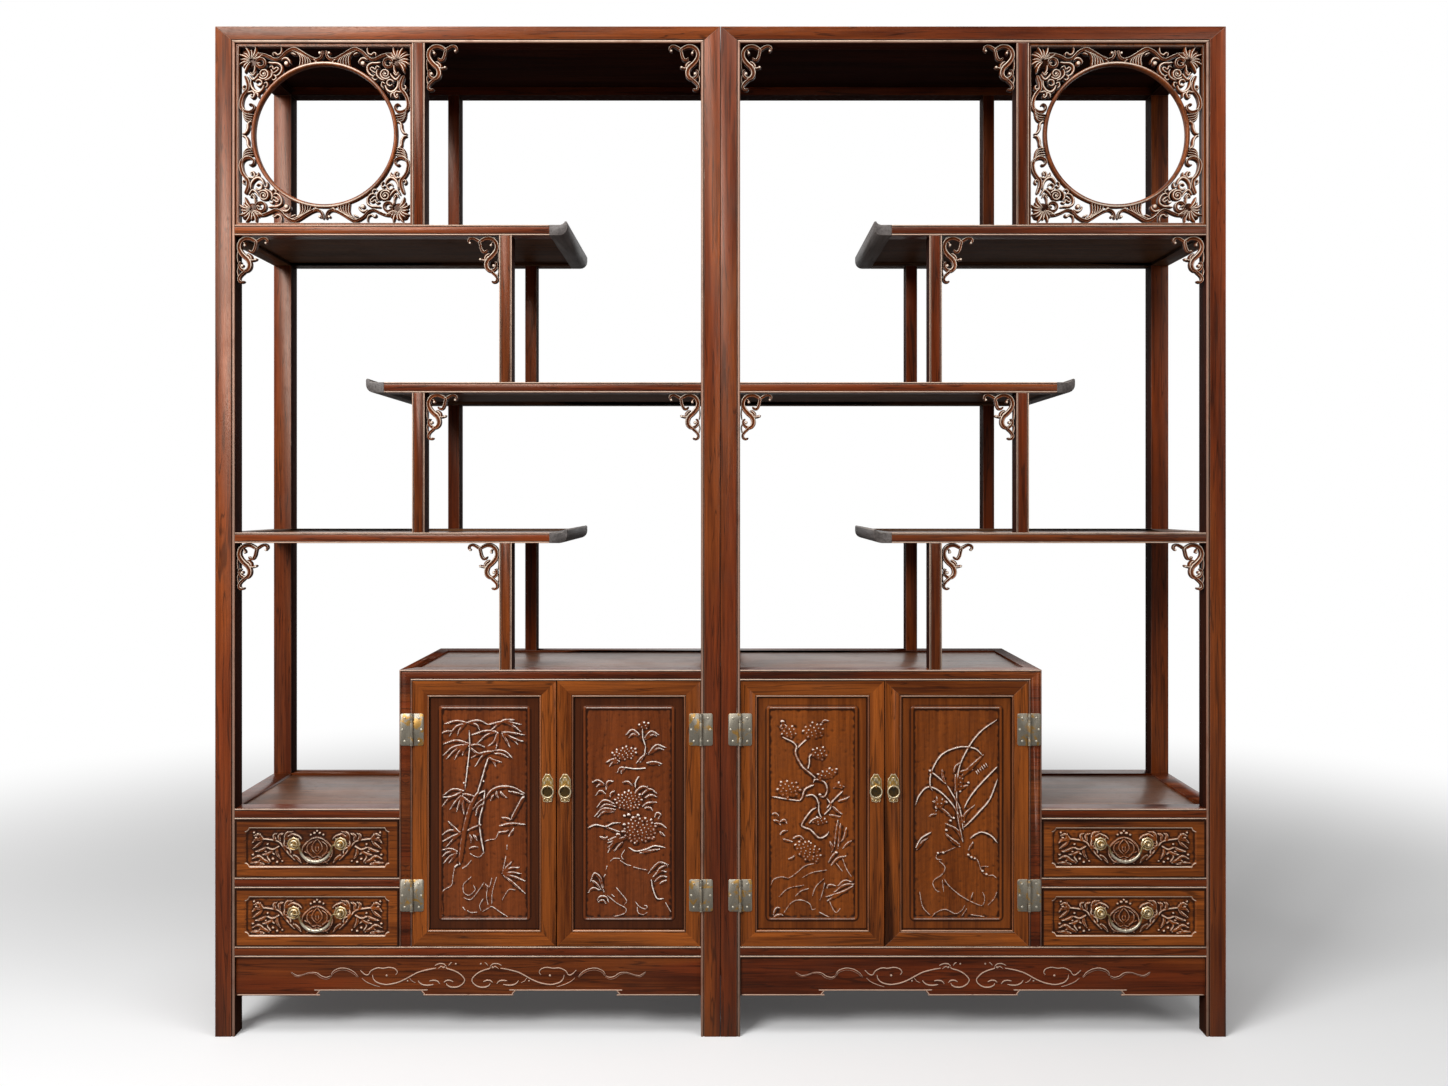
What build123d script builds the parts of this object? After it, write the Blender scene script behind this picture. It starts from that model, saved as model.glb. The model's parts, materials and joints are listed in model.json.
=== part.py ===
from build123d import *
import os
from math import atan2, ceil, cos, hypot, pi, radians, sin

os.makedirs("parts", exist_ok=True)

# A mirrored pair of display book cabinets. One cabinet is drawn with x outward from the seam,
# y back from its front face and z up from the floor. All sizes are in millimetres.

# Whole cabinet
cabinet_width = 960.0
cabinet_height = 1920.0
cabinet_depth = 350.0
pair_gap = 0.6

# Frame timbers
post_width = 37.0
post_depth = 38.0
top_rail_height = 31.0
rail_height = 20.0
divider_width = 24.0
cross_rail_width = 16.0
low_side_rail_width = 22.0

# Heights of the upper faces above the floor
upper_shelf_top = 1543.0
middle_shelf_top = 1244.0
lower_shelf_top = 958.0
case_top = 697.0
drawer_case_top = 433.0
drawer_rail_top = 302.0
bottom_rail_top = 171.0

# Places across the cabinet, from its inner side
upper_divider_x = 574.0
second_divider_x = 408.5
third_divider_x = 574.0
fourth_divider_x = 408.5
case_post_x = 598.0
upper_shelf_end = 291.0
middle_shelf_end = 673.5
lower_shelf_end = 291.0

# Beads worked along the timbers: width, rise, groove width, groove depth
post_bead = (5.0, 1.2, 1.5, 2.2)
rail_bead = (2.6, 0.7, 1.0, 2.4)
crown_fall = 0.9
bead_turn = 45.0
crown_turn = 20.0

# Panels floated in the frames
roof_thickness = 12.0
roof_recess = 2.0
shelf_panel_thickness = 10.0
shelf_panel_recess = 4.0
side_panel_thickness = 8.0
side_panel_inset = 14.0
back_panel_inset = 17.0
floor_panel_thickness = 10.0
floor_panel_recess = 3.0

# Rolled ends of the stepped shelves
end_cap_width = 34.0
end_cap_rise = 7.0
end_cap_roll = 15.0
end_cap_tip = 3.0
end_cap_hollow = 12.0

# Apron boards
apron_bottom = 76.0
apron_step = 9.0
apron_end_run = 152.0
apron_lip_width = 164.0
apron_slope = 9.0
apron_thickness = 18.0
apron_setback = 6.0
side_apron_run = 30.0

# Pierced moon window
fret_border = 5.0
fret_thickness = 12.0
fret_setback = 5.0
ring_margin = 29.0
ring_width = 7.0
flower_radius = 24.0
flower_bite = 3.0
fret_stroke = 5.0
fret_crest_share = 0.62
fret_crest_depth = 6.0
fret_fan_angles = (21.5, 16.5, 11.5)
corner_leaf_reach = 37.0
corner_leaf_width = 8.5
moon_sides = 36

# Pierced spandrels
spandrel_width = 62.0
spandrel_height = 91.0
spandrel_thickness = 10.0
spandrel_setback = 6.0
spandrel_stroke = 5.0

# Doors
door_thickness = 20.0
door_stile = 31.0
door_rail = 30.0
door_side_gap = 1.0
door_end_gap = 1.2
door_meeting_gap = 2.2
door_panel_recess = 5.0
door_panel_thickness = 9.0
door_field_margin = 18.0
door_ridge_width = 6.0
door_ridge_height = 2.0

# Hinges
hinge_leaf_width = 22.5
hinge_leaf_height = 61.0
hinge_leaf_thickness = 1.6
hinge_corner = 4.0
hinge_barrel_radius = 3.2
hinge_pin_radius = 1.6
hinge_middle_knuckle = 33.0
hinge_running_gap = 0.05
hinge_air = 0.3
hinge_end_air = 0.2
lower_hinge_z = 269.0
upper_hinge_z = 584.0

# Door pulls
pull_plate_width = 25.0
pull_plate_height = 56.0
pull_plate_thickness = 1.5
pull_plate_z = 473.0
pull_eye_z = 477.5
pull_eye_standoff = 4.5
pull_eye_width = 3.0
pull_eye_wall = 1.6
ring_wire_radius = 1.4
ring_radius = 11.0
ring_eye_gap = 0.6

# Drawers
drawer_side_gap = 1.5
drawer_top_gap = 1.7
drawer_rest_gap = 0.3
drawer_front_thickness = 20.0
drawer_side_thickness = 9.0
drawer_side_drop = 12.0
drawer_side_inset = 1.0
drawer_bottom_thickness = 5.0
drawer_bottom_lift = 6.0
drawer_back_air = 18.0
drawer_field_margin_x = 17.0
drawer_field_margin_z = 16.0
drawer_field_lift = 3.0
drawer_field_depth = 2.5
drawer_field_notch = 7.5
drawer_notch_turn = 45.0

# Drawer runners, each with a guide lip
runner_thickness = 14.0
runner_width = 15.0
guide_height = 20.0
guide_gap = 0.5

# Drawer pulls
pull_spacing = 89.0
pull_drop = 9.5
rosette_radius = 12.5
rosette_rise = 4.0
rosette_crown = 8.0
rosette_sides = 8
bail_eye_standoff = 9.0
bail_eye_width = 6.0
bail_eye_depth = 7.0
bail_pin_radius = 1.6
bail_running_gap = 0.05
bail_wire_radius = 2.1
bail_radius = 31.0
bail_pin_end = 0.5

# Round stretches that repeat are cut in flats: sides of wires and barrels, steps of a half ring
wire_sides = 6
barrel_sides = 8
half_ring_steps = 6

# Places that several pieces share
outer_face = cabinet_width - post_width
back_face = cabinet_depth - post_depth
top_rail_bottom = cabinet_height - top_rail_height
case_inner = case_post_x - divider_width / 2
case_outer = case_post_x + divider_width / 2
case_rail_bottom = case_top - rail_height
drawer_case_bottom = drawer_case_top - rail_height
drawer_rail_bottom = drawer_rail_top - rail_height
bottom_rail_bottom = bottom_rail_top - rail_height
partition_inner = case_post_x - side_panel_thickness / 2
partition_outer = case_post_x + side_panel_thickness / 2
outer_panel_outer = cabinet_width - side_panel_inset
outer_panel_inner = outer_panel_outer - side_panel_thickness
back_panel_back = cabinet_depth - back_panel_inset
back_panel_front = back_panel_back - side_panel_thickness
hinge_axis_y = -(hinge_barrel_radius + hinge_air)
ring_hole = ring_wire_radius + ring_eye_gap
pull_eye_reach = pull_eye_standoff + ring_hole + pull_eye_wall
bail_eye_reach = bail_eye_standoff + bail_eye_depth / 2
front_reach = max(bail_eye_reach, pull_eye_reach, hinge_barrel_radius - hinge_axis_y)
middle_y = (cabinet_depth - front_reach) / 2


def block(x0, x1, y0, y1, z0, z1):
    # A plain board between two opposite corners
    return Pos((x0 + x1) / 2, (y0 + y1) / 2, (z0 + z1) / 2) * Box(x1 - x0, y1 - y0, z1 - z0)


def prism(points, y0, y1):
    # A flat shape in x and z, carried back from y0 to y1
    face = Plane.XZ * make_face(Polyline(*points, close=True))
    return Pos(0, y0, 0) * extrude(face, amount=-(y1 - y0))


def flats(start, via, end, turn=60.0):
    # Points of the round stretch from start through via to end, cut in even flats
    ax, ay = start[0] - via[0], start[1] - via[1]
    bx, by = end[0] - via[0], end[1] - via[1]
    cross = 2 * (ax * by - ay * bx)
    a2, b2 = ax * ax + ay * ay, bx * bx + by * by
    cx = via[0] + (by * a2 - ay * b2) / cross
    cy = via[1] + (ax * b2 - bx * a2) / cross
    radius = hypot(start[0] - cx, start[1] - cy)
    first = atan2(start[1] - cy, start[0] - cx)
    sweep = (atan2(end[1] - cy, end[0] - cx) - first) % (2 * pi)
    if cross > 0:
        sweep -= 2 * pi
    steps = ceil(abs(sweep) / radians(turn))
    angles = [first + sweep * k / steps for k in range(steps + 1)]
    return [(cx + radius * cos(t), cy + radius * sin(t)) for t in angles]


def timber_section(width, depth, bead, low=True, high=True, crown=0.0):
    # Section of a timber: x across its face, y back from the face, with a bead on either edge
    # and, on a slender timber, a crown between the beads
    bead_width, rise, groove, fall = bead
    inset = bead_width + groove
    start, end = (inset if low else 0.0), (width - inset if high else width)
    near = width - bead_width
    points = []
    if low:
        points += flats((0, rise), (bead_width / 2, 0), (bead_width, rise), bead_turn)
        points += [(bead_width, fall), (inset, fall)]
    points += [(start, crown), (end, crown)]
    if crown:
        points[-1:-1] = flats((start, crown), ((start + end) / 2, 0), (end, crown), crown_turn)[1:-1]
    if high:
        points += [(end, fall), (near, fall)]
        points += flats((near, rise), (width - bead_width / 2, 0), (width, rise), bead_turn)
    return make_face(Polyline(*points, (width, depth), (0, depth), close=True))


def standing(section, x0, z0, z1):
    return Pos(x0, 0, z0) * extrude(section, amount=z1 - z0)


def lying(section, x0, x1, z0):
    place = Plane(origin=(x1, 0, z0), x_dir=(0, 0, 1), z_dir=(-1, 0, 0))
    return extrude(place * section, amount=x1 - x0)


def keep_side(timber, point, normal):
    return split(timber, bisect_by=Plane(origin=point, z_dir=normal), keep=Keep.TOP)


def three_way(timber, along, corner, inward, sizes):
    # Three timbers meet in an outer corner: each keeps the part where its own share of the
    # corner block is the greatest, so the joint shows a mitre on all three faces
    slopes = [tuple(inward[k] / sizes[k] if k == axis else 0 for k in range(3)) for axis in range(3)]
    for other in range(3):
        if other != along:
            normal = tuple(a - b for a, b in zip(slopes[along], slopes[other]))
            timber = keep_side(timber, corner, normal)
    return timber


rail_section = timber_section(rail_height, post_depth, rail_bead, crown=crown_fall)
divider_section = timber_section(divider_width, post_depth, rail_bead, crown=crown_fall)

# Centre of each divider and the faces that it stands between
divider_places = (
    (upper_divider_x, upper_shelf_top, top_rail_bottom),
    (second_divider_x, middle_shelf_top, upper_shelf_top - rail_height),
    (third_divider_x, lower_shelf_top, middle_shelf_top - rail_height),
    (fourth_divider_x, case_top, lower_shelf_top - rail_height),
)


def front_rail(x0, x1, top):
    return lying(rail_section, x0, x1, top - rail_height)


def dividers():
    pieces = []
    for x, z0, z1 in divider_places:
        edge = x - divider_width / 2
        pieces.append(standing(divider_section, edge, z0, z1))
        pieces.append(block(edge, edge + divider_width, back_face, cabinet_depth, z0, z1))
    return pieces


def corner_posts():
    sizes = (post_width, post_depth, top_rail_height)
    inner = timber_section(post_width, post_depth, post_bead, low=False)
    outer = timber_section(post_width, post_depth, post_bead, high=False)
    posts = []
    for x0, corner_x, side, section in ((0, 0, 1, inner), (outer_face, cabinet_width, -1, outer)):
        front = standing(section, x0, 0, cabinet_height)
        back = block(x0, x0 + post_width, back_face, cabinet_depth, 0, cabinet_height)
        front_corner = (corner_x, 0, cabinet_height)
        back_corner = (corner_x, cabinet_depth, cabinet_height)
        posts.append(three_way(front, 2, front_corner, (side, 1, -1), sizes))
        posts.append(three_way(back, 2, back_corner, (side, -1, -1), sizes))
    return posts


def top_frame():
    sizes = (post_width, post_depth, top_rail_height)
    section = timber_section(top_rail_height, post_depth, post_bead, high=False)
    front = lying(section, 0, cabinet_width, top_rail_bottom)
    back = block(0, cabinet_width, back_face, cabinet_depth, top_rail_bottom, cabinet_height)
    sides = [
        block(x, x + post_width, 0, cabinet_depth, top_rail_bottom, cabinet_height)
        for x in (0, outer_face)
    ]
    for x, side in ((0, 1), (cabinet_width, -1)):
        front = three_way(front, 0, (x, 0, cabinet_height), (side, 1, -1), sizes)
        back = three_way(back, 0, (x, cabinet_depth, cabinet_height), (side, -1, -1), sizes)
    for i, (x, side) in enumerate(((0, 1), (cabinet_width, -1))):
        for y, ahead in ((0, 1), (cabinet_depth, -1)):
            sides[i] = three_way(sides[i], 1, (x, y, cabinet_height), (side, ahead, -1), sizes)
    roof_top = cabinet_height - roof_recess
    roof = block(post_width, outer_face, post_depth, back_face, roof_top - roof_thickness, roof_top)
    return [front, back, *sides, roof]


def shelf(top, x0, x1, post_x):
    # Moulded front rail, plain back rail, a side rail between the posts and a floated panel
    bottom = top - rail_height
    panel_top = top - shelf_panel_recess
    panel_bottom = panel_top - shelf_panel_thickness
    return [
        front_rail(x0, x1, top),
        block(x0, x1, back_face, cabinet_depth, bottom, top),
        block(post_x, post_x + post_width, post_depth, back_face, bottom, top),
        block(x0, x1, post_depth, back_face, panel_bottom, panel_top),
    ]


def end_cap(x_joint, direction, top):
    # Rolled end: flat below, round at the free side, with a tip that curls up above the shelf
    bottom = top - rail_height
    peak = top + end_cap_rise
    edge = end_cap_width
    tip_z = peak - end_cap_tip
    roll = end_cap_roll * (1 - cos(pi / 4))
    shoulder = edge - 2 * end_cap_tip
    hollow = shoulder - end_cap_hollow

    def at(x, z):
        return (x_joint + direction * x, z)

    roll_start, roll_end = at(edge - end_cap_roll, bottom), at(edge, bottom + end_cap_roll)
    tip = flats(at(edge, tip_z), at(edge - end_cap_tip, peak), at(shoulder, tip_z), 45)
    dip = at(shoulder - end_cap_hollow * 0.4, top + (tip_z - top) * 0.22)
    outline = [
        at(0, bottom),
        *flats(roll_start, at(edge - roll, bottom + roll), roll_end, 18),
        *tip[:-1],
        *flats(tip[-1], dip, at(hollow, top), 20),
        at(0, top),
    ]
    return prism(outline, 0, cabinet_depth)


def case_frame():
    # The cupboard and the drawer bay share one front post, one back post and the bottom rails
    sizes = (divider_width, post_depth, rail_height)
    corner_z = case_top
    front_corner = (case_outer, 0, corner_z)
    back_corner = (case_outer, cabinet_depth, corner_z)
    front_post = standing(divider_section, case_inner, bottom_rail_top, case_top)
    back_post = block(case_inner, case_outer, back_face, cabinet_depth, bottom_rail_top, case_top)
    top_front = front_rail(post_width, case_outer, case_top)
    top_back = block(post_width, case_outer, back_face, cabinet_depth, case_rail_bottom, case_top)
    top_side = block(case_inner, case_outer, 0, cabinet_depth, case_rail_bottom, case_top)
    pieces = [
        three_way(front_post, 2, front_corner, (-1, 1, -1), sizes),
        three_way(back_post, 2, back_corner, (-1, -1, -1), sizes),
        three_way(top_front, 0, front_corner, (-1, 1, -1), sizes),
        three_way(top_back, 0, back_corner, (-1, -1, -1), sizes),
    ]
    for corner, ahead in ((front_corner, 1), (back_corner, -1)):
        top_side = three_way(top_side, 1, corner, (-1, ahead, -1), sizes)
    pieces.append(top_side)
    pieces.append(block(0, post_width, post_depth, back_face, case_rail_bottom, case_top))
    pieces.append(front_rail(case_outer, outer_face, drawer_case_top))
    pieces.append(
        block(case_outer, outer_face, back_face, cabinet_depth, drawer_case_bottom, drawer_case_top)
    )
    pieces.append(
        block(outer_face, cabinet_width, post_depth, back_face, drawer_case_bottom, drawer_case_top)
    )
    pieces.append(front_rail(case_outer, outer_face, drawer_rail_top))
    pieces.append(front_rail(post_width, outer_face, bottom_rail_top))
    low, high = bottom_rail_bottom, bottom_rail_top
    cross_inner = partition_outer - cross_rail_width
    pieces.append(block(post_width, outer_face, back_face, cabinet_depth, low, high))
    pieces.append(block(0, low_side_rail_width, post_depth, back_face, low, high))
    pieces.append(block(cross_inner, partition_outer, post_depth, back_face, low, high))
    outer_rail = cabinet_width - low_side_rail_width
    pieces.append(block(outer_rail, cabinet_width, post_depth, back_face, low, high))
    return pieces


def runner(x_wall, x_opening, direction, top):
    # L-shaped strip: the drawer side slides on its foot and along its lip
    foot_end = x_opening + direction * runner_width
    lip = x_opening + direction * (drawer_side_gap + drawer_side_inset - guide_gap)
    low = top - runner_thickness
    outline = [
        (x_wall, low),
        (foot_end, low),
        (foot_end, top),
        (lip, top),
        (lip, top + guide_height),
        (x_wall, top + guide_height),
    ]
    return prism(outline, post_depth, back_face)


def drawer_runners():
    pieces = []
    outer_wall = cabinet_width - low_side_rail_width
    for top in (drawer_rail_top, bottom_rail_top):
        pieces.append(runner(partition_outer, case_outer, 1, top))
        pieces.append(runner(outer_wall, outer_face, -1, top))
    return pieces


def case_panels():
    low, high = bottom_rail_top, case_rail_bottom
    panel_top = case_top - shelf_panel_recess
    drawer_top = drawer_case_top - shelf_panel_recess
    floor_top = bottom_rail_top - floor_panel_recess
    floor_low = floor_top - floor_panel_thickness
    inner_panel = side_panel_inset, side_panel_inset + side_panel_thickness
    cross_inner = partition_outer - cross_rail_width
    bay_left = case_outer + runner_width
    bay_right = outer_face - runner_width
    case_panel = block(
        post_width, case_inner, post_depth, back_face, panel_top - shelf_panel_thickness, panel_top
    )
    drawer_panel = block(
        partition_outer,
        outer_face,
        post_depth,
        back_face,
        drawer_top - shelf_panel_thickness,
        drawer_top,
    )
    return [
        case_panel,
        drawer_panel,
        block(outer_panel_inner, outer_panel_outer, post_depth, back_face, low, drawer_case_bottom),
        block(*inner_panel, post_depth, back_face, low, high),
        block(partition_inner, partition_outer, post_depth, back_face, low, high),
        block(post_width, case_inner, back_panel_front, back_panel_back, low, high),
        block(case_outer, outer_face, back_panel_front, back_panel_back, low, drawer_case_bottom),
        block(low_side_rail_width, cross_inner, post_depth, back_face, floor_low, floor_top),
        block(bay_left, bay_right, post_depth, back_face, floor_low, floor_top),
    ]


def apron_outline(length, run, lip):
    # Lower edge: a drop at each post, a higher run and, on the long boards, a dropped lip
    high = apron_bottom + apron_step
    half = [(0, bottom_rail_bottom), (0, apron_bottom), (run, apron_bottom)]
    half.append((run + apron_slope, high))
    if lip:
        half.append((length / 2 - lip / 2 - apron_slope, high))
        half.append((length / 2 - lip / 2, apron_bottom))
    return half + [(length - x, z) for x, z in reversed(half)]


def aprons():
    long_span = outer_face - post_width
    side_span = back_face - post_depth
    near = apron_setback
    far = cabinet_depth - apron_setback
    long_edge = apron_outline(long_span, apron_end_run, apron_lip_width)
    short_edge = apron_outline(side_span, side_apron_run, 0)
    front = Pos(post_width, 0, 0) * prism(long_edge, near, near + apron_thickness)
    back = Pos(post_width, 0, 0) * prism(long_edge, far - apron_thickness, far)
    board = Rot(0, 0, 90) * prism(short_edge, 0, apron_thickness)
    inner = Pos(apron_setback + apron_thickness, post_depth, 0) * board
    outer = Pos(cabinet_width - apron_setback, post_depth, 0) * board
    return [front, back, inner, outer]


def ribbon(points, widths):
    # A carved stroke along its centre line, with a width of its own at each point
    left, right = [], []
    for k, (x, y) in enumerate(points):
        x0, y0 = points[max(k - 1, 0)]
        x1, y1 = points[min(k + 1, len(points) - 1)]
        length = hypot(x1 - x0, y1 - y0)
        side_x = -(y1 - y0) / length * widths[k] / 2
        side_y = (x1 - x0) / length * widths[k] / 2
        left.append((x + side_x, y + side_y))
        right.append((x - side_x, y - side_y))
    return make_face(Polyline(*left, *reversed(right), close=True))


def moon_fretwork():
    # Thin border, moon ring, a flower in each corner, and a wave with a fan along every half side.
    # One quarter is drawn from the outer corner inward and mirrored twice
    x0, x1 = upper_divider_x + divider_width / 2, outer_face
    z0, z1 = upper_shelf_top, top_rail_bottom
    half_x, half_z = (x1 - x0) / 2, (z1 - z0) / 2
    ring_outer = min(half_x, half_z) - ring_margin
    ring_middle = ring_outer - ring_width / 2
    span = hypot(half_x, half_z)
    reach = ring_outer + flower_radius - flower_bite
    flower = (half_x - reach * half_x / span, half_z - reach * half_z / span)
    wide, thin = fret_stroke, fret_stroke / 2

    def side_strokes(turn):
        # Places go by a share of the half side and a depth below the border; turn swaps the sides
        def place(share, depth):
            return (depth, share * half_z) if turn else (share * half_x, depth)

        def on_ring(angle):
            t = radians(90 - angle if turn else angle)
            return (half_x - ring_middle * sin(t), half_z - ring_middle * cos(t))

        def wave(*spots):
            return [place(share, depth * ring_margin) for share, depth in spots]

        # The wave swings up to a crest at the border, dips toward the ring and turns up into a tip
        # that meets its twin at the middle of the side; the fan stands between the wave and the ring
        crest = place(fret_crest_share, fret_crest_depth)
        rise = wave((0.44, 0.93), (0.53, 0.45))
        fall = wave((0.76, 0.5), (0.88, 0.92), (0.99, 0.72), (0.968, 0.28))
        widths = [wide, wide, thin, wide, wide, wide, wide, thin]
        yield ribbon([flower, *rise, crest, *fall], widths)
        for start, angle in zip((crest, crest, fall[0]), fret_fan_angles):
            yield ribbon([start, on_ring(angle)], [thin, wide])

    def centred(shape):
        return Pos(half_x, half_z) * shape

    far, near = corner_leaf_reach, corner_leaf_width
    leaf = make_face(Polyline((0, 0), (far, near), flower, (near, far), close=True))
    petals = Pos(*flower) * RegularPolygon(radius=flower_radius, side_count=8)
    opening = Rectangle(2 * (half_x - fret_border), 2 * (half_z - fret_border))
    border = centred(Rectangle(2 * half_x, 2 * half_z)) - centred(opening)
    disc = centred(RegularPolygon(radius=ring_outer, side_count=moon_sides))
    window = centred(RegularPolygon(radius=ring_outer - ring_width, side_count=moon_sides))
    beyond_x = Pos(2 * half_x, half_z) * Rectangle(2 * half_x, 4 * half_z)
    beyond_z = Pos(half_x, 2 * half_z) * Rectangle(4 * half_x, 2 * half_z)
    quarter = border + [disc, leaf, petals, *side_strokes(False), *side_strokes(True)]
    quarter -= [window, beyond_x, beyond_z]
    side = quarter + mirror(quarter, Plane.YZ.offset(half_x))
    board = side + mirror(side, Plane.XZ.offset(-half_z))
    board = Plane(origin=(x0, fret_setback, z0), x_dir=(1, 0, 0), z_dir=(0, -1, 0)) * board
    return [extrude(board, amount=-fret_thickness)]


def spandrel_shape():
    # Scroll bracket: a large curl in the corner that runs down into an S, a hook along the rail,
    # a stem, a leaf and a tail against the post
    def path(*spots):
        return [(u * spandrel_width, -v * spandrel_height) for u, v in spots]

    wide, thin = spandrel_stroke, spandrel_stroke / 2
    start, turn, edge = (0.42, 0.55), (0.58, 0.12), 0.035
    curl = path((0.50, 0.26), turn, (0.40, 0.02), (0.20, 0.02), (edge, 0.15), (edge, 0.34), start)
    scroll = path(start, (0.53, 0.67), (0.38, 0.79), (0.14, 0.76), (0.14, 0.63))
    strokes = [
        ribbon(curl, [thin, wide, wide, wide, wide, wide, wide]),
        ribbon(scroll, [wide, wide, wide, wide, thin]),
        ribbon(path(turn, (0.78, 0.03), (0.97, 0.14)), [wide, wide, thin]),
        ribbon(path(turn, (0.62, 0.30), start), [thin, wide, thin]),
        ribbon(path(start, (0.72, 0.52)), [wide, thin]),
        ribbon(path((0.36, 0.79), (edge, 0.89), (0.27, 0.98)), [thin, wide, thin]),
    ]
    shape = strokes[0]
    for stroke in strokes[1:]:
        shape += stroke
    return shape & Pos(spandrel_width / 2, -spandrel_height / 2) * Rectangle(
        spandrel_width, spandrel_height
    )


def spandrels():
    shape = spandrel_shape()
    upper, middle, lower = (
        top - rail_height for top in (upper_shelf_top, middle_shelf_top, lower_shelf_top)
    )
    half = divider_width / 2
    # x of the upright it sits against, underside of its rail, and the way that it points
    places = [
        (post_width, top_rail_bottom, 1),
        (upper_divider_x - half, top_rail_bottom, -1),
        (outer_face, upper, -1),
        (second_divider_x + half, upper, 1),
        (post_width, middle, 1),
        (third_divider_x - half, middle, -1),
        (outer_face, lower, -1),
        (fourth_divider_x + half, lower, 1),
    ]
    pieces = []
    for x, z, direction in places:
        turned = shape if direction > 0 else mirror(shape, Plane.YZ)
        place = Plane(origin=(x, spandrel_setback, z), x_dir=(1, 0, 0), z_dir=(0, -1, 0))
        pieces.append(extrude(place * turned, amount=-spandrel_thickness))
    return pieces


def door_span(outer):
    middle = (post_width + case_inner) / 2
    if outer:
        return middle + door_meeting_gap / 2, case_inner - door_side_gap
    return post_width + door_side_gap, middle - door_meeting_gap / 2


door_low = bottom_rail_top + door_end_gap
door_high = case_rail_bottom - door_end_gap


def door_frame(outer):
    x0, x1 = door_span(outer)
    stile_left = timber_section(door_stile, door_thickness, rail_bead, low=False)
    stile_right = timber_section(door_stile, door_thickness, rail_bead, high=False)
    rail_low = timber_section(door_rail, door_thickness, rail_bead, low=False)
    rail_high = timber_section(door_rail, door_thickness, rail_bead, high=False)
    left = standing(stile_left, x0, door_low, door_high)
    right = standing(stile_right, x1 - door_stile, door_low, door_high)
    bottom = lying(rail_low, x0, x1, door_low)
    top = lying(rail_high, x0, x1, door_high - door_rail)
    for z, up in ((door_low, 1), (door_high, -1)):
        left = keep_side(left, (x0, 0, z), (-1 / door_stile, 0, up / door_rail))
        right = keep_side(right, (x1, 0, z), (1 / door_stile, 0, up / door_rail))
    for x, side in ((x0, 1), (x1, -1)):
        bottom = keep_side(bottom, (x, 0, door_low), (side / door_stile, 0, -1 / door_rail))
        top = keep_side(top, (x, 0, door_high), (side / door_stile, 0, 1 / door_rail))
    return [left, right, bottom, top]


def door_panel(outer):
    # The carved field lies inside a raised ridge, and a flat margin lies outside it
    x0, x1 = door_span(outer)
    left, right = x0 + door_stile, x1 - door_stile
    low, high = door_low + door_rail, door_high - door_rail
    face = door_panel_recess
    panel = block(left, right, face, face + door_panel_thickness, low, high)
    ridge_front = face - door_ridge_height
    margin = door_field_margin
    inner = margin + door_ridge_width
    ridge = block(left + margin, right - margin, ridge_front, face, low + margin, high - margin)
    ridge -= block(left + inner, right - inner, ridge_front, face, low + inner, high - inner)
    return [panel + ridge]


def round_bar(x, radius, z0, z1):
    section = RegularPolygon(radius=radius, side_count=barrel_sides)
    return Pos(x, hinge_axis_y, z0) * extrude(section, amount=z1 - z0)


def hinge_leaf(x, z, direction, moving):
    # Plate with cut corners, set back beside the other leaf's knuckles. The middle knuckle is on
    # the door's leaf; the fixed leaf has the end knuckles and the pin riveted into them
    half = hinge_leaf_height / 2
    middle = hinge_middle_knuckle / 2
    clear = hinge_barrel_radius + hinge_air
    leaf_end = middle - hinge_end_air if moving else middle
    at_end, at_middle = (clear, hinge_air) if moving else (hinge_air, clear)
    edge = hinge_leaf_width
    quarter = [
        (at_middle, leaf_end),
        (at_end, leaf_end),
        (at_end, half),
        (edge - hinge_corner, half),
        (edge, half - hinge_corner),
    ]
    outline = quarter + [(a, -b) for a, b in reversed(quarter)]
    leaf = prism([(x + direction * a, z + b) for a, b in outline], -hinge_leaf_thickness, 0)
    if moving:
        leaf += round_bar(x, hinge_barrel_radius, z - leaf_end, z + leaf_end)
        bore = (hinge_pin_radius + hinge_running_gap) / cos(pi / barrel_sides)
        return leaf - round_bar(x, bore, z - half, z + half)
    leaf += round_bar(x, hinge_barrel_radius, z - half, z - middle)
    leaf += round_bar(x, hinge_barrel_radius, z + middle, z + half)
    return leaf + round_bar(x, hinge_pin_radius, z - half, z + half)


def hinge_axis(outer):
    return case_inner if outer else post_width


def fixed_hinge_leaves():
    leaves = []
    for outer in (True, False):
        for z in (lower_hinge_z, upper_hinge_z):
            leaves.append(hinge_leaf(hinge_axis(outer), z, 1 if outer else -1, moving=False))
    return leaves


def pull_x(outer):
    x0, x1 = door_span(outer)
    return x0 + door_stile / 2 if outer else x1 - door_stile / 2


def bent_wire(radius, wire_radius, first, steps):
    # Wire bent round in x and z, in short flats; first and steps count from +x downward
    turn = 180 / half_ring_steps
    sections = [
        Rot(0, first + turn * k, 0) * Pos(radius, 0, 0) * RegularPolygon(wire_radius, wire_sides)
        for k in range(steps + 1)
    ]
    return loft(sections, ruled=True)


def eye(x, z, width, height, standoff, reach, hole, back):
    # Lug that stands out to reach and has a square hole along x at the standoff
    lug = block(x - width / 2, x + width / 2, -reach, back, z - height / 2, z + height / 2)
    return lug - block(x - width, x + width, -standoff - hole, -standoff + hole, z - hole, z + hole)


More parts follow.
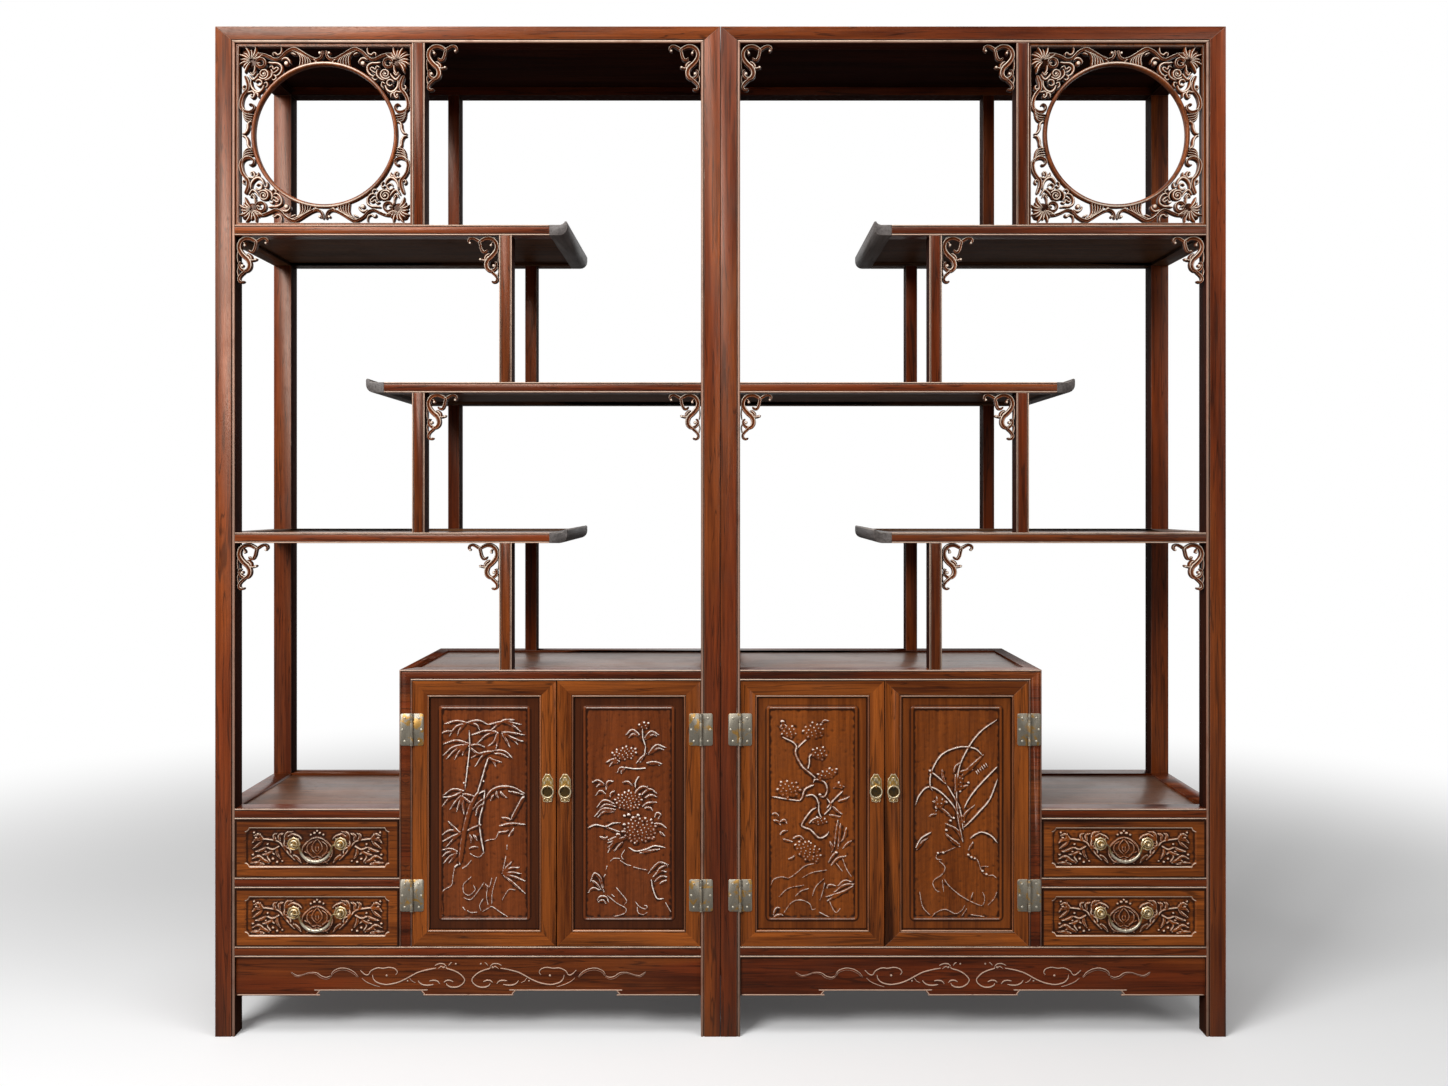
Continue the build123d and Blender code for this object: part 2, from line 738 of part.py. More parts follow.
def door_fittings(outer):
    # Two moving leaves, and the pull plate with the eye that holds the ring
    leaves = [
        hinge_leaf(hinge_axis(outer), z, -1 if outer else 1, moving=True)
        for z in (lower_hinge_z, upper_hinge_z)
    ]
    x = pull_x(outer)
    steps = 2 * wire_sides
    oval = [
        (
            x + pull_plate_width / 2 * cos(2 * pi * k / steps),
            pull_plate_z + pull_plate_height / 2 * sin(2 * pi * k / steps),
        )
        for k in range(steps)
    ]
    plate = prism(oval, -pull_plate_thickness, 0)
    height = 2 * (ring_hole + pull_eye_wall)
    plate += eye(
        x, pull_eye_z, pull_eye_width, height, pull_eye_standoff, pull_eye_reach, ring_hole, 0
    )
    return [*leaves, plate]


def pull_ring(outer):
    place = Pos(pull_x(outer), -pull_eye_standoff, pull_eye_z - ring_radius)
    halves = [bent_wire(ring_radius, ring_wire_radius, first, half_ring_steps) for first in (0, 180)]
    return [place * (halves[0] + halves[1])]


def drawer_low(upper):
    return drawer_rail_top if upper else bottom_rail_top


def drawer_high(upper):
    return drawer_case_bottom if upper else drawer_rail_bottom


def drawer_front(upper):
    # The sunk field lies a little above the middle, and each corner of it is a hollow quarter round
    x0, x1 = case_outer + drawer_side_gap, outer_face - drawer_side_gap
    z0, z1 = drawer_low(upper) + drawer_rest_gap, drawer_high(upper) - drawer_top_gap
    board = block(x0, x1, 0, drawer_front_thickness, z0, z1)
    left, right = x0 + drawer_field_margin_x, x1 - drawer_field_margin_x
    low = z0 + drawer_field_margin_z + drawer_field_lift
    high = z1 - drawer_field_margin_z + drawer_field_lift
    cut, via = drawer_field_notch, drawer_field_notch * cos(pi / 4)
    corners = [(right, low, -1, 1), (right, high, -1, -1), (left, high, 1, -1), (left, low, 1, 1)]
    outline = []
    for x, z, side, up in corners:
        beside, above = (x + side * cut, z), (x, z + up * cut)
        start, end = (beside, above) if side * up < 0 else (above, beside)
        outline += flats(start, (x + side * via, z + up * via), end, drawer_notch_turn)
    return [board - prism(outline, 0, drawer_field_depth)]


def drawer_box(upper):
    inset = drawer_side_gap + drawer_side_inset
    x0, x1 = case_outer + inset, outer_face - inset
    z0 = drawer_low(upper) + drawer_rest_gap
    z1 = drawer_high(upper) - drawer_top_gap - drawer_side_drop
    y0, y1 = drawer_front_thickness, back_panel_front - drawer_back_air
    wall = drawer_side_thickness
    bottom = z0 + drawer_bottom_lift
    return [
        block(x0, x0 + wall, y0, y1, z0, z1),
        block(x1 - wall, x1, y0, y1, z0, z1),
        block(x0 + wall, x1 - wall, y1 - wall, y1, z0, z1),
        block(x0 + wall, x1 - wall, y0, y1 - wall, bottom, bottom + drawer_bottom_thickness),
    ]


def bail_axis(upper):
    x = (case_outer + outer_face) / 2
    z0, z1 = drawer_low(upper) + drawer_rest_gap, drawer_high(upper) - drawer_top_gap
    return x, (z0 + z1) / 2 + pull_drop


def drawer_rosettes(upper):
    # A turned rose with an eye that takes the end of the bail
    x, z = bail_axis(upper)
    pieces = []
    face = drawer_field_depth
    hole = bail_pin_radius + bail_running_gap
    for side in (-1, 1):
        centre = x + side * pull_spacing / 2
        place = Plane(origin=(centre, face, z), x_dir=(1, 0, 0), z_dir=(0, -1, 0))
        piece = eye(
            centre, z, bail_eye_width, bail_eye_depth, bail_eye_standoff, bail_eye_reach, hole, 0
        )
        for radius, rise in ((rosette_radius, rosette_rise / 2), (rosette_crown, rosette_rise)):
            disc = RegularPolygon(radius=radius, side_count=rosette_sides)
            piece += extrude(place * disc, amount=face + rise)
        pieces.append(piece)
    return pieces


def drawer_bail(upper):
    # Half ring of wire with two pins that turn outward into the eyes
    x, z = bail_axis(upper)
    start = bail_radius - bail_wire_radius / 2
    reach = pull_spacing / 2 + bail_eye_width / 2 + bail_pin_end
    bail = bent_wire(bail_radius, bail_wire_radius, 0, half_ring_steps)
    pin = extrude(Plane.YZ * RegularPolygon(bail_pin_radius, wire_sides), amount=reach - start)
    bail += Pos(start, 0, 0) * pin
    bail += Pos(-reach, 0, 0) * pin
    return [Pos(x, -bail_eye_standoff, z) * bail]


def cabinet():
    # All pieces of one cabinet, by node
    upper_start = upper_shelf_end + end_cap_width
    middle_stop = middle_shelf_end - end_cap_width
    lower_start = lower_shelf_end + end_cap_width
    nodes = {
        "corner_posts": corner_posts(),
        "top_frame": top_frame(),
        "moon_fretwork": moon_fretwork(),
        "spandrels": spandrels(),
        "dividers": dividers(),
        "upper_shelf": shelf(upper_shelf_top, upper_start, outer_face, outer_face),
        "middle_shelf": shelf(middle_shelf_top, post_width, middle_stop, 0),
        "lower_shelf": shelf(lower_shelf_top, lower_start, outer_face, outer_face),
        "shelf_end_caps": [
            end_cap(upper_start, -1, upper_shelf_top),
            end_cap(middle_stop, 1, middle_shelf_top),
            end_cap(lower_start, -1, lower_shelf_top),
        ],
        "case_frame": [*case_frame(), *drawer_runners()],
        "case_panels": case_panels(),
        "aprons": aprons(),
        "fixed_hinge_leaves": fixed_hinge_leaves(),
    }
    for name, outer in (("outer_door", True), ("inner_door", False)):
        nodes[name + "_frame"] = door_frame(outer)
        nodes[name + "_panel"] = door_panel(outer)
        nodes[name + "_fittings"] = door_fittings(outer)
        nodes[name + "_pull_ring"] = pull_ring(outer)
    for name, upper in (("upper_drawer", True), ("lower_drawer", False)):
        nodes[name + "_front"] = drawer_front(upper)
        nodes[name + "_box"] = drawer_box(upper)
        nodes[name + "_rosettes"] = drawer_rosettes(upper)
        nodes[name + "_bail"] = drawer_bail(upper)
    return nodes


place = Pos(pair_gap / 2, -middle_y, 0)
for node, pieces in cabinet().items():
    solids = [solid for piece in pieces for solid in (place * piece).solids()]
    export_step(Compound(children=solids), f"parts/right_{node}.step")
    mirrored = [mirror(solid, Plane.YZ) for solid in solids]
    export_step(Compound(children=mirrored), f"parts/left_{node}.step")
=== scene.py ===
import bmesh
import bpy
import json
import math
import numpy as np
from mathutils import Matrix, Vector


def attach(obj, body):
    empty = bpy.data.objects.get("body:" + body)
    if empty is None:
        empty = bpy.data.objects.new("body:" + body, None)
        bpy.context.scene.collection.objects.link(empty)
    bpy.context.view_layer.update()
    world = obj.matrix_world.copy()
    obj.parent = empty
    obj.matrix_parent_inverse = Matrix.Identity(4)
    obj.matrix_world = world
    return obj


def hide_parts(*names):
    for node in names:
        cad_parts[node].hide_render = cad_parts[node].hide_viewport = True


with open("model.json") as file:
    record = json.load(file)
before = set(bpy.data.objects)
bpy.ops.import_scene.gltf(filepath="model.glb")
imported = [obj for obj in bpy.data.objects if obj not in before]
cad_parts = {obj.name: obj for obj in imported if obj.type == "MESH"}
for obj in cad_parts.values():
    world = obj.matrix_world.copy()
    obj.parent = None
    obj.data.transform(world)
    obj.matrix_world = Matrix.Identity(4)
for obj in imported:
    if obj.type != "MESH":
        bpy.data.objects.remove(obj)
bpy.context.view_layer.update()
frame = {"nodes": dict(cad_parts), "record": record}
sides = {"left": -1.0, "right": 1.0}
rng = np.random.default_rng(7)
seam = 0.0003  # half of the gap between the two cabinets
backShift = 0.16875  # from a cabinet's front face to the middle of the row
perMetre = 1000.0  # carving and fittings are drawn in millimetres
grainSpread = 3.0  # how far apart in the figure two pieces may take their grain, in metres


def newGroup(name, inputs, outputs):
    # An empty node group with named sockets; inputs are (name, kind, value)
    group = bpy.data.node_groups.new(name, "ShaderNodeTree")
    for label, kind, value in inputs:
        socket = group.interface.new_socket(name=label, in_out="INPUT", socket_type="NodeSocket" + kind)
        if value is not None:
            socket.default_value = value
    for label, kind in outputs:
        group.interface.new_socket(name=label, in_out="OUTPUT", socket_type="NodeSocket" + kind)
    return group, Wiring(group)


class Wiring:
    # Short calls that add nodes to one tree and link them
    def __init__(self, tree):
        self.tree = tree
        self.nodes = tree.nodes

    def put(self, target, value):
        if isinstance(value, bpy.types.NodeSocket):
            self.tree.links.new(value, target)
        elif value is not None:
            target.default_value = value

    def node(self, kind, inputs=None, **settings):
        made = self.nodes.new("ShaderNode" + kind if not kind.startswith("NodeGroup") else kind)
        for key, value in settings.items():
            setattr(made, key, value)
        for key, value in (inputs or {}).items():
            self.put(made.inputs[key], value)
        return made

    def math(self, operation, a, b=None, clamp=False):
        made = self.node("Math", operation=operation, use_clamp=clamp)
        for i, value in enumerate((a, b)):
            self.put(made.inputs[i], value)
        return made.outputs[0]

    def noise(self, vector, scale, detail=2.0, roughness=0.5, distortion=0.0):
        made = self.node("TexNoise", {"Vector": vector, "Scale": scale, "Detail": detail,
                                      "Roughness": roughness, "Distortion": distortion})
        return made.outputs["Fac"]

    def stretch(self, vector, scale):
        made = self.node("Mapping", {"Vector": vector, "Scale": scale})
        return made.outputs[0]

    def step(self, value, low, high, smooth=True, outLow=0.0, outHigh=1.0):
        kind = "SMOOTHSTEP" if smooth else "LINEAR"
        made = self.node("MapRange", interpolation_type=kind)
        for i, item in enumerate((value, low, high, outLow, outHigh)):
            self.put(made.inputs[i], item)
        return made.outputs[0]

    def mix(self, factor, a, b):
        # Sockets 6, 7 and 2 are the colours of the node that mixes all kinds
        made = self.node("Mix", data_type="RGBA")
        for i, value in ((0, factor), (6, a), (7, b)):
            self.put(made.inputs[i], value)
        return made.outputs[2]

    def group(self, group, inputs):
        made = self.node("Group")
        made.node_tree = group
        for key, value in inputs.items():
            self.put(made.inputs[key], value)
        return made.outputs


# Turns of the noise in a metre, along the timber and across it
figureScale = {"tone": (1.6, 26.0, 26.0), "streak": (7.0, 210.0, 210.0), "vein": (2.2, 60.0, 60.0),
               "pore": (110.0, 2400.0, 2400.0), "hue": (1.1, 9.0, 9.0)}


def grainGroup():
    # Wood figure from a vector in metres whose x runs along the timber: tone is slow bands plus fine
    # streaks of stretched noise, vein is the thin line where another noise crosses its middle,
    # pore is a short dash where the finest noise is low, and hue is a very slow change
    group, w = newGroup("woodFigure", [("grain", "Vector", None), ("scale", "Float", 1.0)],
                        [("tone", "Float"), ("streak", "Float"), ("vein", "Float"), ("pore", "Float"),
                         ("hue", "Float")])
    source = w.node("NodeGroupInput").outputs
    grain = w.node("VectorMath", {0: source["grain"], "Scale": source["scale"]}, operation="SCALE").outputs[0]
    tone = w.noise(w.stretch(grain, figureScale["tone"]), 1.0, 3.0, 0.55, 0.4)
    streak = w.noise(w.stretch(grain, figureScale["streak"]), 1.0, 4.0, 0.62, 0.5)
    cross = w.noise(w.stretch(grain, figureScale["vein"]), 1.0, 2.0, 0.5, 1.6)
    line = w.math("ABSOLUTE", w.math("SUBTRACT", cross, 0.5))
    vein = w.step(line, 0.004, 0.03, outLow=1.0, outHigh=0.0)
    fine = w.noise(w.stretch(grain, figureScale["pore"]), 1.0, 2.0, 0.5)
    pore = w.step(fine, 0.34, 0.42, outLow=1.0, outHigh=0.0)
    hue = w.step(w.noise(w.stretch(grain, figureScale["hue"]), 1.0, 2.0, 0.5, 0.8), 0.42, 0.64)
    out = w.node("NodeGroupOutput")
    for label, value in (("tone", tone), ("streak", streak), ("vein", vein), ("pore", pore), ("hue", hue)):
        w.put(out.inputs[label], value)
    return group


# Turns of the noise in a metre, and the height in metres up to which grime gathers
wearScale = {"blotch": 22.0, "speck": 260.0, "scuff": 75.0, "patch": 9.0, "low": 0.11}


def wearAndHighlightGroup():
    # Edge wear and painted highlight: the rim mask times blotchy noise along the timber is wear, and the line
    # mask adds the painted highlight of a lit bead;
    # scuff is faint overall marks, grime gathers low on the object and in slow patches
    group, w = newGroup("handWearAndHighlight", [("place", "Vector", None), ("rim", "Float", 0.0), ("line", "Float", 0.0),
                                     ("amount", "Float", 0.6)],
                        [("wornAndLit", "Float"), ("scuff", "Float"), ("grime", "Float")])
    source = w.node("NodeGroupInput").outputs
    place = source["place"]
    blotch = w.noise(place, wearScale["blotch"], 4.0, 0.62)
    speck = w.noise(place, wearScale["speck"], 2.0, 0.6)
    spread = w.math("ADD", w.math("MULTIPLY", blotch, 0.7), w.math("MULTIPLY", speck, 0.3))
    level = w.math("SUBTRACT", 0.82, w.math("MULTIPLY", source["amount"], 0.5))
    blotched = w.step(spread, level, w.math("ADD", level, 0.16))
    # Painted highlight: a steady pale line along lit beads, a little weaker where the blotch noise is low
    steadyHighlight = w.math("MULTIPLY", source["line"], w.step(blotch, 0.25, 0.5, outLow=0.6))
    wornAndLit = w.math("ADD", w.math("MULTIPLY", blotched, source["rim"]), steadyHighlight, clamp=True)
    scuff = w.step(w.noise(place, wearScale["scuff"], 5.0, 0.7), 0.56, 0.72)
    height = w.node("SeparateXYZ", {0: place}).outputs["Z"]
    low = w.step(height, 0.0, wearScale["low"], outLow=1.0, outHigh=0.0)
    patch = w.step(w.noise(place, wearScale["patch"], 3.0, 0.6), 0.40, 0.75)
    grime = w.math("ADD", w.math("MULTIPLY", low, w.math("ADD", 0.35, w.math("MULTIPLY", speck, 0.6))),
                   w.math("MULTIPLY", patch, 0.35), clamp=True)
    out = w.node("NodeGroupOutput")
    for label, value in (("wornAndLit", wornAndLit), ("scuff", scuff), ("grime", grime)):
        w.put(out.inputs[label], value)
    return group


figureGroup = grainGroup()
edgeGroup = wearAndHighlightGroup()


def woodMaterial(name, look):
    # Polished wood: dark to light by tone and streak, veins darker, rims pale with wear and bead lines pale
    # as painted highlight, crests pale as wear and painted highlight, and hollows, grooves, gaps and lower
    # flanks darker as painted shade, with fine pores and streaks as bump
    made = bpy.data.materials.new(name)
    made.use_nodes = True
    w = Wiring(made.node_tree)
    w.nodes.clear()
    grain = w.node("Attribute", attribute_name="grain").outputs["Vector"]
    place = w.node("TexCoord").outputs["Object"]
    rim = w.node("Attribute", attribute_name="rim").outputs["Fac"]
    line = w.node("Attribute", attribute_name="line").outputs["Fac"]
    relief = w.node("Attribute", attribute_name="relief").outputs["Fac"]
    figure = w.group(figureGroup, {"grain": grain, "scale": look["scale"]})
    wear = w.group(edgeGroup, {"place": place, "rim": rim, "line": line, "amount": look["wear"]})
    tone = w.math("ADD", w.math("MULTIPLY", figure["tone"], 0.75), w.math("MULTIPLY", figure["streak"], 0.5))
    tone = w.step(tone, 0.44, 0.82, smooth=False)
    light = w.mix(figure["hue"], look["light"], look.get("amber", look["light"]))
    color = w.mix(tone, look["dark"], light)
    color = w.mix(w.math("MULTIPLY", figure["vein"], look["vein"]), color, look["deep"])
    color = w.mix(w.math("MULTIPLY", figure["pore"], look["pore"]), color, look["deep"])
    color = w.mix(w.math("MULTIPLY", wear["grime"], look["grime"]), color, look["dust"])
    # Painted shade: negative relief (hollows, grooves, gaps, lower flanks) goes towards the deep colour
    hollow = w.step(relief, -1.0, -0.12, outLow=look["hollow"], outHigh=0.0)
    color = w.mix(hollow, color, look["deep"])
    # Crests: wear together with painted highlight where the relief is high, on lit upper flanks and level
    # runs
    crest = w.step(relief, look["crestFrom"], look["crestTo"])
    wornAndLit = w.math("MULTIPLY", crest, w.math("ADD", 0.55, w.math("MULTIPLY", figure["streak"], 0.6)))
    wornAndLit = w.math("MULTIPLY", wornAndLit, look["crest"], clamp=True)
    color = w.mix(wornAndLit, color, look["wornAndLit"])
    # Rims: blotchy edge wear plus the painted highlight line of lit beads
    color = w.mix(w.math("MULTIPLY", wear["wornAndLit"], look["rimShare"]), color, look["wornAndLit"])
    rough = w.math("ADD", look["rough"], w.math("MULTIPLY", wear["scuff"], 0.12))
    rough = w.math("ADD", rough, w.math("MULTIPLY", figure["streak"], 0.10))
    rough = w.math("ADD", rough, w.math("MULTIPLY", wear["grime"], 0.25), clamp=True)
    height = w.math("SUBTRACT", w.math("MULTIPLY", figure["streak"], 0.35), figure["pore"])
    bump = w.node("Bump", {"Height": height, "Strength": look["bump"], "Distance": 0.0004})
    shader = w.node("BsdfPrincipled", {"Base Color": color, "Roughness": rough, "Normal": bump.outputs[0],
                                       "Coat Weight": look["coat"], "Coat Roughness": look["coatRough"],
                                       "Specular IOR Level": look["specular"], "Specular Tint": look["tint"]})
    w.put(w.node("OutputMaterial").inputs[0], shader.outputs[0])
    made.diffuse_color = look["light"]
    return made


def rgb(red, green, blue):
    # A full colour from its three linear shares
    return (red, green, blue, 1.0)


# What all the woods share; each look then says what is its own
# deep darkens veins and pores and is also the painted shade of hollows, grooves, gaps and lower flanks, as
# far as hollow says; the pale wear colour of rims is also the painted highlight of crests and bead lines
polish = {"scale": 1.0, "vein": 0.6, "pore": 0.22, "wear": 0.42, "grime": 0.45, "hollow": 0.9,
          "crest": 0.8, "crestFrom": 0.25, "crestTo": 0.75, "rimShare": 0.80, "rough": 0.26,
          "bump": 0.22, "coat": 0.04, "coatRough": 0.14, "specular": 0.28, "tint": rgb(1.0, 0.70, 0.55),
          "deep": rgb(0.012, 0.0035, 0.002), "dust": rgb(0.055, 0.030, 0.020),
          "wornAndLit": rgb(0.70, 0.46, 0.33)}
frameLook = {**polish, "dark": rgb(0.045, 0.007, 0.002), "light": rgb(0.20, 0.034, 0.007),
             "amber": rgb(0.26, 0.060, 0.011), "rimShare": 0.92, "wornAndLit": rgb(0.80, 0.60, 0.46)}
railLook = {**polish, "dark": rgb(0.050, 0.008, 0.003), "light": rgb(0.25, 0.046, 0.010), "specular": 0.40,
            "amber": rgb(0.31, 0.070, 0.013), "rimShare": 0.92, "wornAndLit": rgb(0.80, 0.60, 0.46)}
boardLook = {**polish, "dark": rgb(0.040, 0.014, 0.006), "light": rgb(0.27, 0.105, 0.045), "rough": 0.27,
             "specular": 0.50, "tint": rgb(1.0, 0.80, 0.68)}
shelfLook = {**polish, "dark": rgb(0.048, 0.018, 0.006), "light": rgb(0.150, 0.062, 0.023), "rough": 0.42,
             "specular": 0.20, "tint": rgb(1.0, 0.80, 0.66)}
# A darker, rough copy of the frame wood, as painted shade on faces that stand in shade
shadedSideLook = {**frameLook, "dark": rgb(0.010, 0.003, 0.002), "light": rgb(0.050, 0.011, 0.005), "rough": 0.6,
            "amber": rgb(0.060, 0.014, 0.006), "specular": 0.03, "coat": 0.0}
amberLook = {**polish, "dark": rgb(0.090, 0.018, 0.003), "light": rgb(0.40, 0.102, 0.015)}
carvedLook = {**polish, "dark": rgb(0.105, 0.022, 0.005), "light": rgb(0.235, 0.054, 0.012), "crest": 1.15,
              "vein": 0.25, "crestFrom": 0.40, "crestTo": 0.95, "wornAndLit": rgb(1.0, 0.92, 0.83)}
warmCarvedLook = {**carvedLook, "dark": rgb(0.130, 0.028, 0.004), "light": rgb(0.330, 0.082, 0.012),
                  "crest": 0.95, "crestFrom": 0.46, "wornAndLit": rgb(0.98, 0.88, 0.78)}
fretLook = {**polish, "dark": rgb(0.090, 0.020, 0.005), "light": rgb(0.31, 0.080, 0.020), "crest": 1.0,
            "crestFrom": 0.42, "crestTo": 0.95, "wornAndLit": rgb(1.0, 0.86, 0.70)}
drawerLook = {**amberLook, "crest": 1.0, "crestFrom": 0.20, "crestTo": 0.75, "wornAndLit": rgb(0.88, 0.70, 0.54)}
capLook = {**polish, "dark": rgb(0.056, 0.048, 0.045), "light": rgb(0.190, 0.168, 0.158), "vein": 0.4,
           "wornAndLit": rgb(0.40, 0.33, 0.28), "rough": 0.42, "tint": rgb(1.0, 1.0, 1.0)}
boxLook = {**polish, "dark": rgb(0.19, 0.10, 0.05), "light": rgb(0.42, 0.27, 0.15), "rough": 0.5, "coat": 0.0,
           "wornAndLit": rgb(0.55, 0.42, 0.30)}
woods = {key: woodMaterial(key, look) for key, look in (
    ("frameWood", frameLook), ("shadedSideWood", shadedSideLook), ("railWood", railLook), ("boardWood", boardLook),
    ("shelfWood", shelfLook), ("amberWood", amberLook), ("drawerWood", drawerLook),
    ("carvedWood", carvedLook), ("warmCarvedWood", warmCarvedLook), ("fretWood", fretLook),
    ("capWood", capLook), ("boxWood", boxLook))}


def brassMaterial(name, look):
    # Old brass: a metal whose colour goes between bright, dull and stained by slow and fine noise;
    # rims and crests stay bright, pits and hollows go dark
    made = bpy.data.materials.new(name)
    made.use_nodes = True
    w = Wiring(made.node_tree)
    w.nodes.clear()
    place = w.node("TexCoord").outputs["Object"]
    rim = w.node("Attribute", attribute_name="rim").outputs["Fac"]
    relief = w.node("Attribute", attribute_name="relief").outputs["Fac"]
    slow = w.noise(place, look["patch"], 3.0, 0.6, 0.6)
    fine = w.noise(place, 900.0, 3.0, 0.65)
    golden = w.step(slow, look["goldFrom"], look["goldFrom"] + 0.10)
    color = w.mix(golden, look["dull"], look["gold"])
    color = w.mix(w.step(fine, 0.42, 0.70, outHigh=look["stained"]), color, look["stain"])
    hollow = w.step(relief, -1.0, -0.1, outLow=0.85, outHigh=0.0)
    color = w.mix(hollow, color, look["stain"])
    bright = w.math("MAXIMUM", w.math("MULTIPLY", rim, 0.7), w.step(relief, 0.2, 0.8, outHigh=0.7))
    color = w.mix(bright, color, look["bright"])
    rough = w.math("ADD", look["rough"], w.math("MULTIPLY", fine, 0.25), clamp=True)
    bump = w.node("Bump", {"Height": fine, "Strength": 0.25, "Distance": 0.0002})
    shader = w.node("BsdfPrincipled", {"Base Color": color, "Roughness": rough, "Normal": bump.outputs[0],
                                       "Metallic": look["metal"]})
    w.put(w.node("OutputMaterial").inputs[0], shader.outputs[0])
    made.diffuse_color = look["gold"]
    return made


hingeLook = {"patch": 55.0, "goldFrom": 0.53, "rough": 0.36, "metal": 0.75, "stained": 0.4,
             "dull": rgb(0.37, 0.33, 0.26), "gold": rgb(0.55, 0.31, 0.08),
             "stain": rgb(0.05, 0.04, 0.03), "bright": rgb(0.80, 0.74, 0.60)}
pullLook = {"patch": 90.0, "goldFrom": 0.36, "rough": 0.28, "metal": 0.8, "stained": 0.75,
            "dull": rgb(0.40, 0.31, 0.17), "gold": rgb(0.72, 0.43, 0.11),
            "stain": rgb(0.025, 0.016, 0.010), "bright": rgb(0.96, 0.84, 0.60)}
bailLook = {**pullLook, "gold": rgb(0.40, 0.28, 0.12), "dull": rgb(0.30, 0.26, 0.18),
            "bright": rgb(0.80, 0.74, 0.60)}
metals = {key: brassMaterial(key, look) for key, look in (
    ("hingeBrass", hingeLook), ("pullBrass", pullLook), ("bailBrass", bailLook))}
print("finishes mixed")


def islandLabels(count, edges):
    # The lowest vertex number of each vertex's connected piece, spread along the edges until it settles
    labels = np.arange(count)
    while True:
        low = np.minimum(labels[edges[:, 0]], labels[edges[:, 1]])
        spread = labels.copy()
        np.minimum.at(spread, edges[:, 0], low)
        np.minimum.at(spread, edges[:, 1], low)
        spread = spread[spread]
        if np.array_equal(spread, labels):
            return labels
        labels = spread


def fieldOf(source, field, kind=float, width=1):
    # One field of all the vertices, edges, loops or faces, as one row each where it has several numbers
    flat = np.zeros(len(source) * width, dtype=kind)
    source.foreach_get(field, flat)
    return flat.reshape(-1, width) if width > 1 else flat


def storePoints(mesh, name, values):
    # Writes one value or one vector for each vertex
    wide = values.ndim == 2
    layer = mesh.attributes.new(name, "FLOAT_VECTOR" if wide else "FLOAT", "POINT")
    flat = np.ascontiguousarray(values, dtype=np.float32).ravel()
    layer.data.foreach_set("vector" if wide else "value", flat)


def storeGrain(mesh):
    # Grain runs along the longest side of each connected piece, and each piece gets its own place in
    # the figure: grain = (along, across, across) + a random shift
    points = fieldOf(mesh.vertices, "co", width=3)
    labels = islandLabels(len(points), fieldOf(mesh.edges, "vertices", np.int64, 2))
    grain = np.zeros_like(points)
    for label in np.unique(labels):
        members = labels == label
        axis = int(np.argmax(np.ptp(points[members], axis=0)))
        order = [axis, (axis + 1) % 3, (axis + 2) % 3]
        grain[members] = points[members][:, order] + rng.uniform(-grainSpread, grainSpread, 3)
    storePoints(mesh, "grain", grain)


def storeFrameGrain(mesh, first, second):
    # In a mitred frame each face belongs to the bar whose side of the frame it is nearest to, and its
    # grain runs along that bar; the two axes are those of the frame's plane
    points = fieldOf(mesh.vertices, "co", width=3)
    low, high = points.min(axis=0), points.max(axis=0)
    centre = fieldOf(mesh.polygons, "center", width=3)
    near = np.minimum(centre - low, high - centre)
    turnedBar = near[:, first] < near[:, second]
    across = np.where(turnedBar, first, second)
    farSide = (centre > (low + high) / 2)[np.arange(len(centre)), across]
    total = fieldOf(mesh.polygons, "loop_total", np.int64)
    face = np.repeat(np.arange(len(total)), total)
    third = 3 - first - second
    spots = points[fieldOf(mesh.loops, "vertex_index", np.int64)]
    grain = np.where(turnedBar[face, None], spots[:, [second, first, third]],
                     spots[:, [first, second, third]])
    shift = rng.uniform(-grainSpread, grainSpread, (4, 3))
    grain = grain + shift[(turnedBar * 2 + farSide)[face]]
    layer = mesh.attributes.new("grain", "FLOAT_VECTOR", "CORNER")
    layer.data.foreach_set("vector", grain.astype(np.float32).ravel())


def bodyOf(node):
    # The body that carries the node
    bodies = frame["record"]["behaviour"]["bodies"]
    return next(body for body, nodes in bodies.items() if node in nodes)


def finishPiece(name, mesh, material, node):
    # Links the piece, gives it its finish and lets it ride and stand for its CAD node
    made = bpy.data.objects.new(name, mesh)
    bpy.context.scene.collection.objects.link(made)
    mesh.materials.clear()
    mesh.materials.append(material)
    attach(made, bodyOf(node))
    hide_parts(node)


# How a timber's edges are eased and show wear, and where painted highlight lines and painted shade in grooves
# and gaps go; lengths are in metres and turns in degrees
edgeWearAndPaintedLight = {"merge": 2e-6, "flat": 0.6, "turn": 40.0, "segments": 2,
        "upright": 0.6, "hollowCorner": 0.05, "bare": 0.15, "slender": 0.0021,
        "rim": 0.55, "level": 0.80, "levelLean": 0.5, "back": 0.3, "groove": 2.2, "grooveFade": 0.002,
        "flank": 0.0046, "flankShade": -0.5, "gapShade": 0.0008, "seam": 0.002,
        "frontRail": 0.038, "facing": 0.9, "sideArea": 0.002, "sideGap": 0.01}


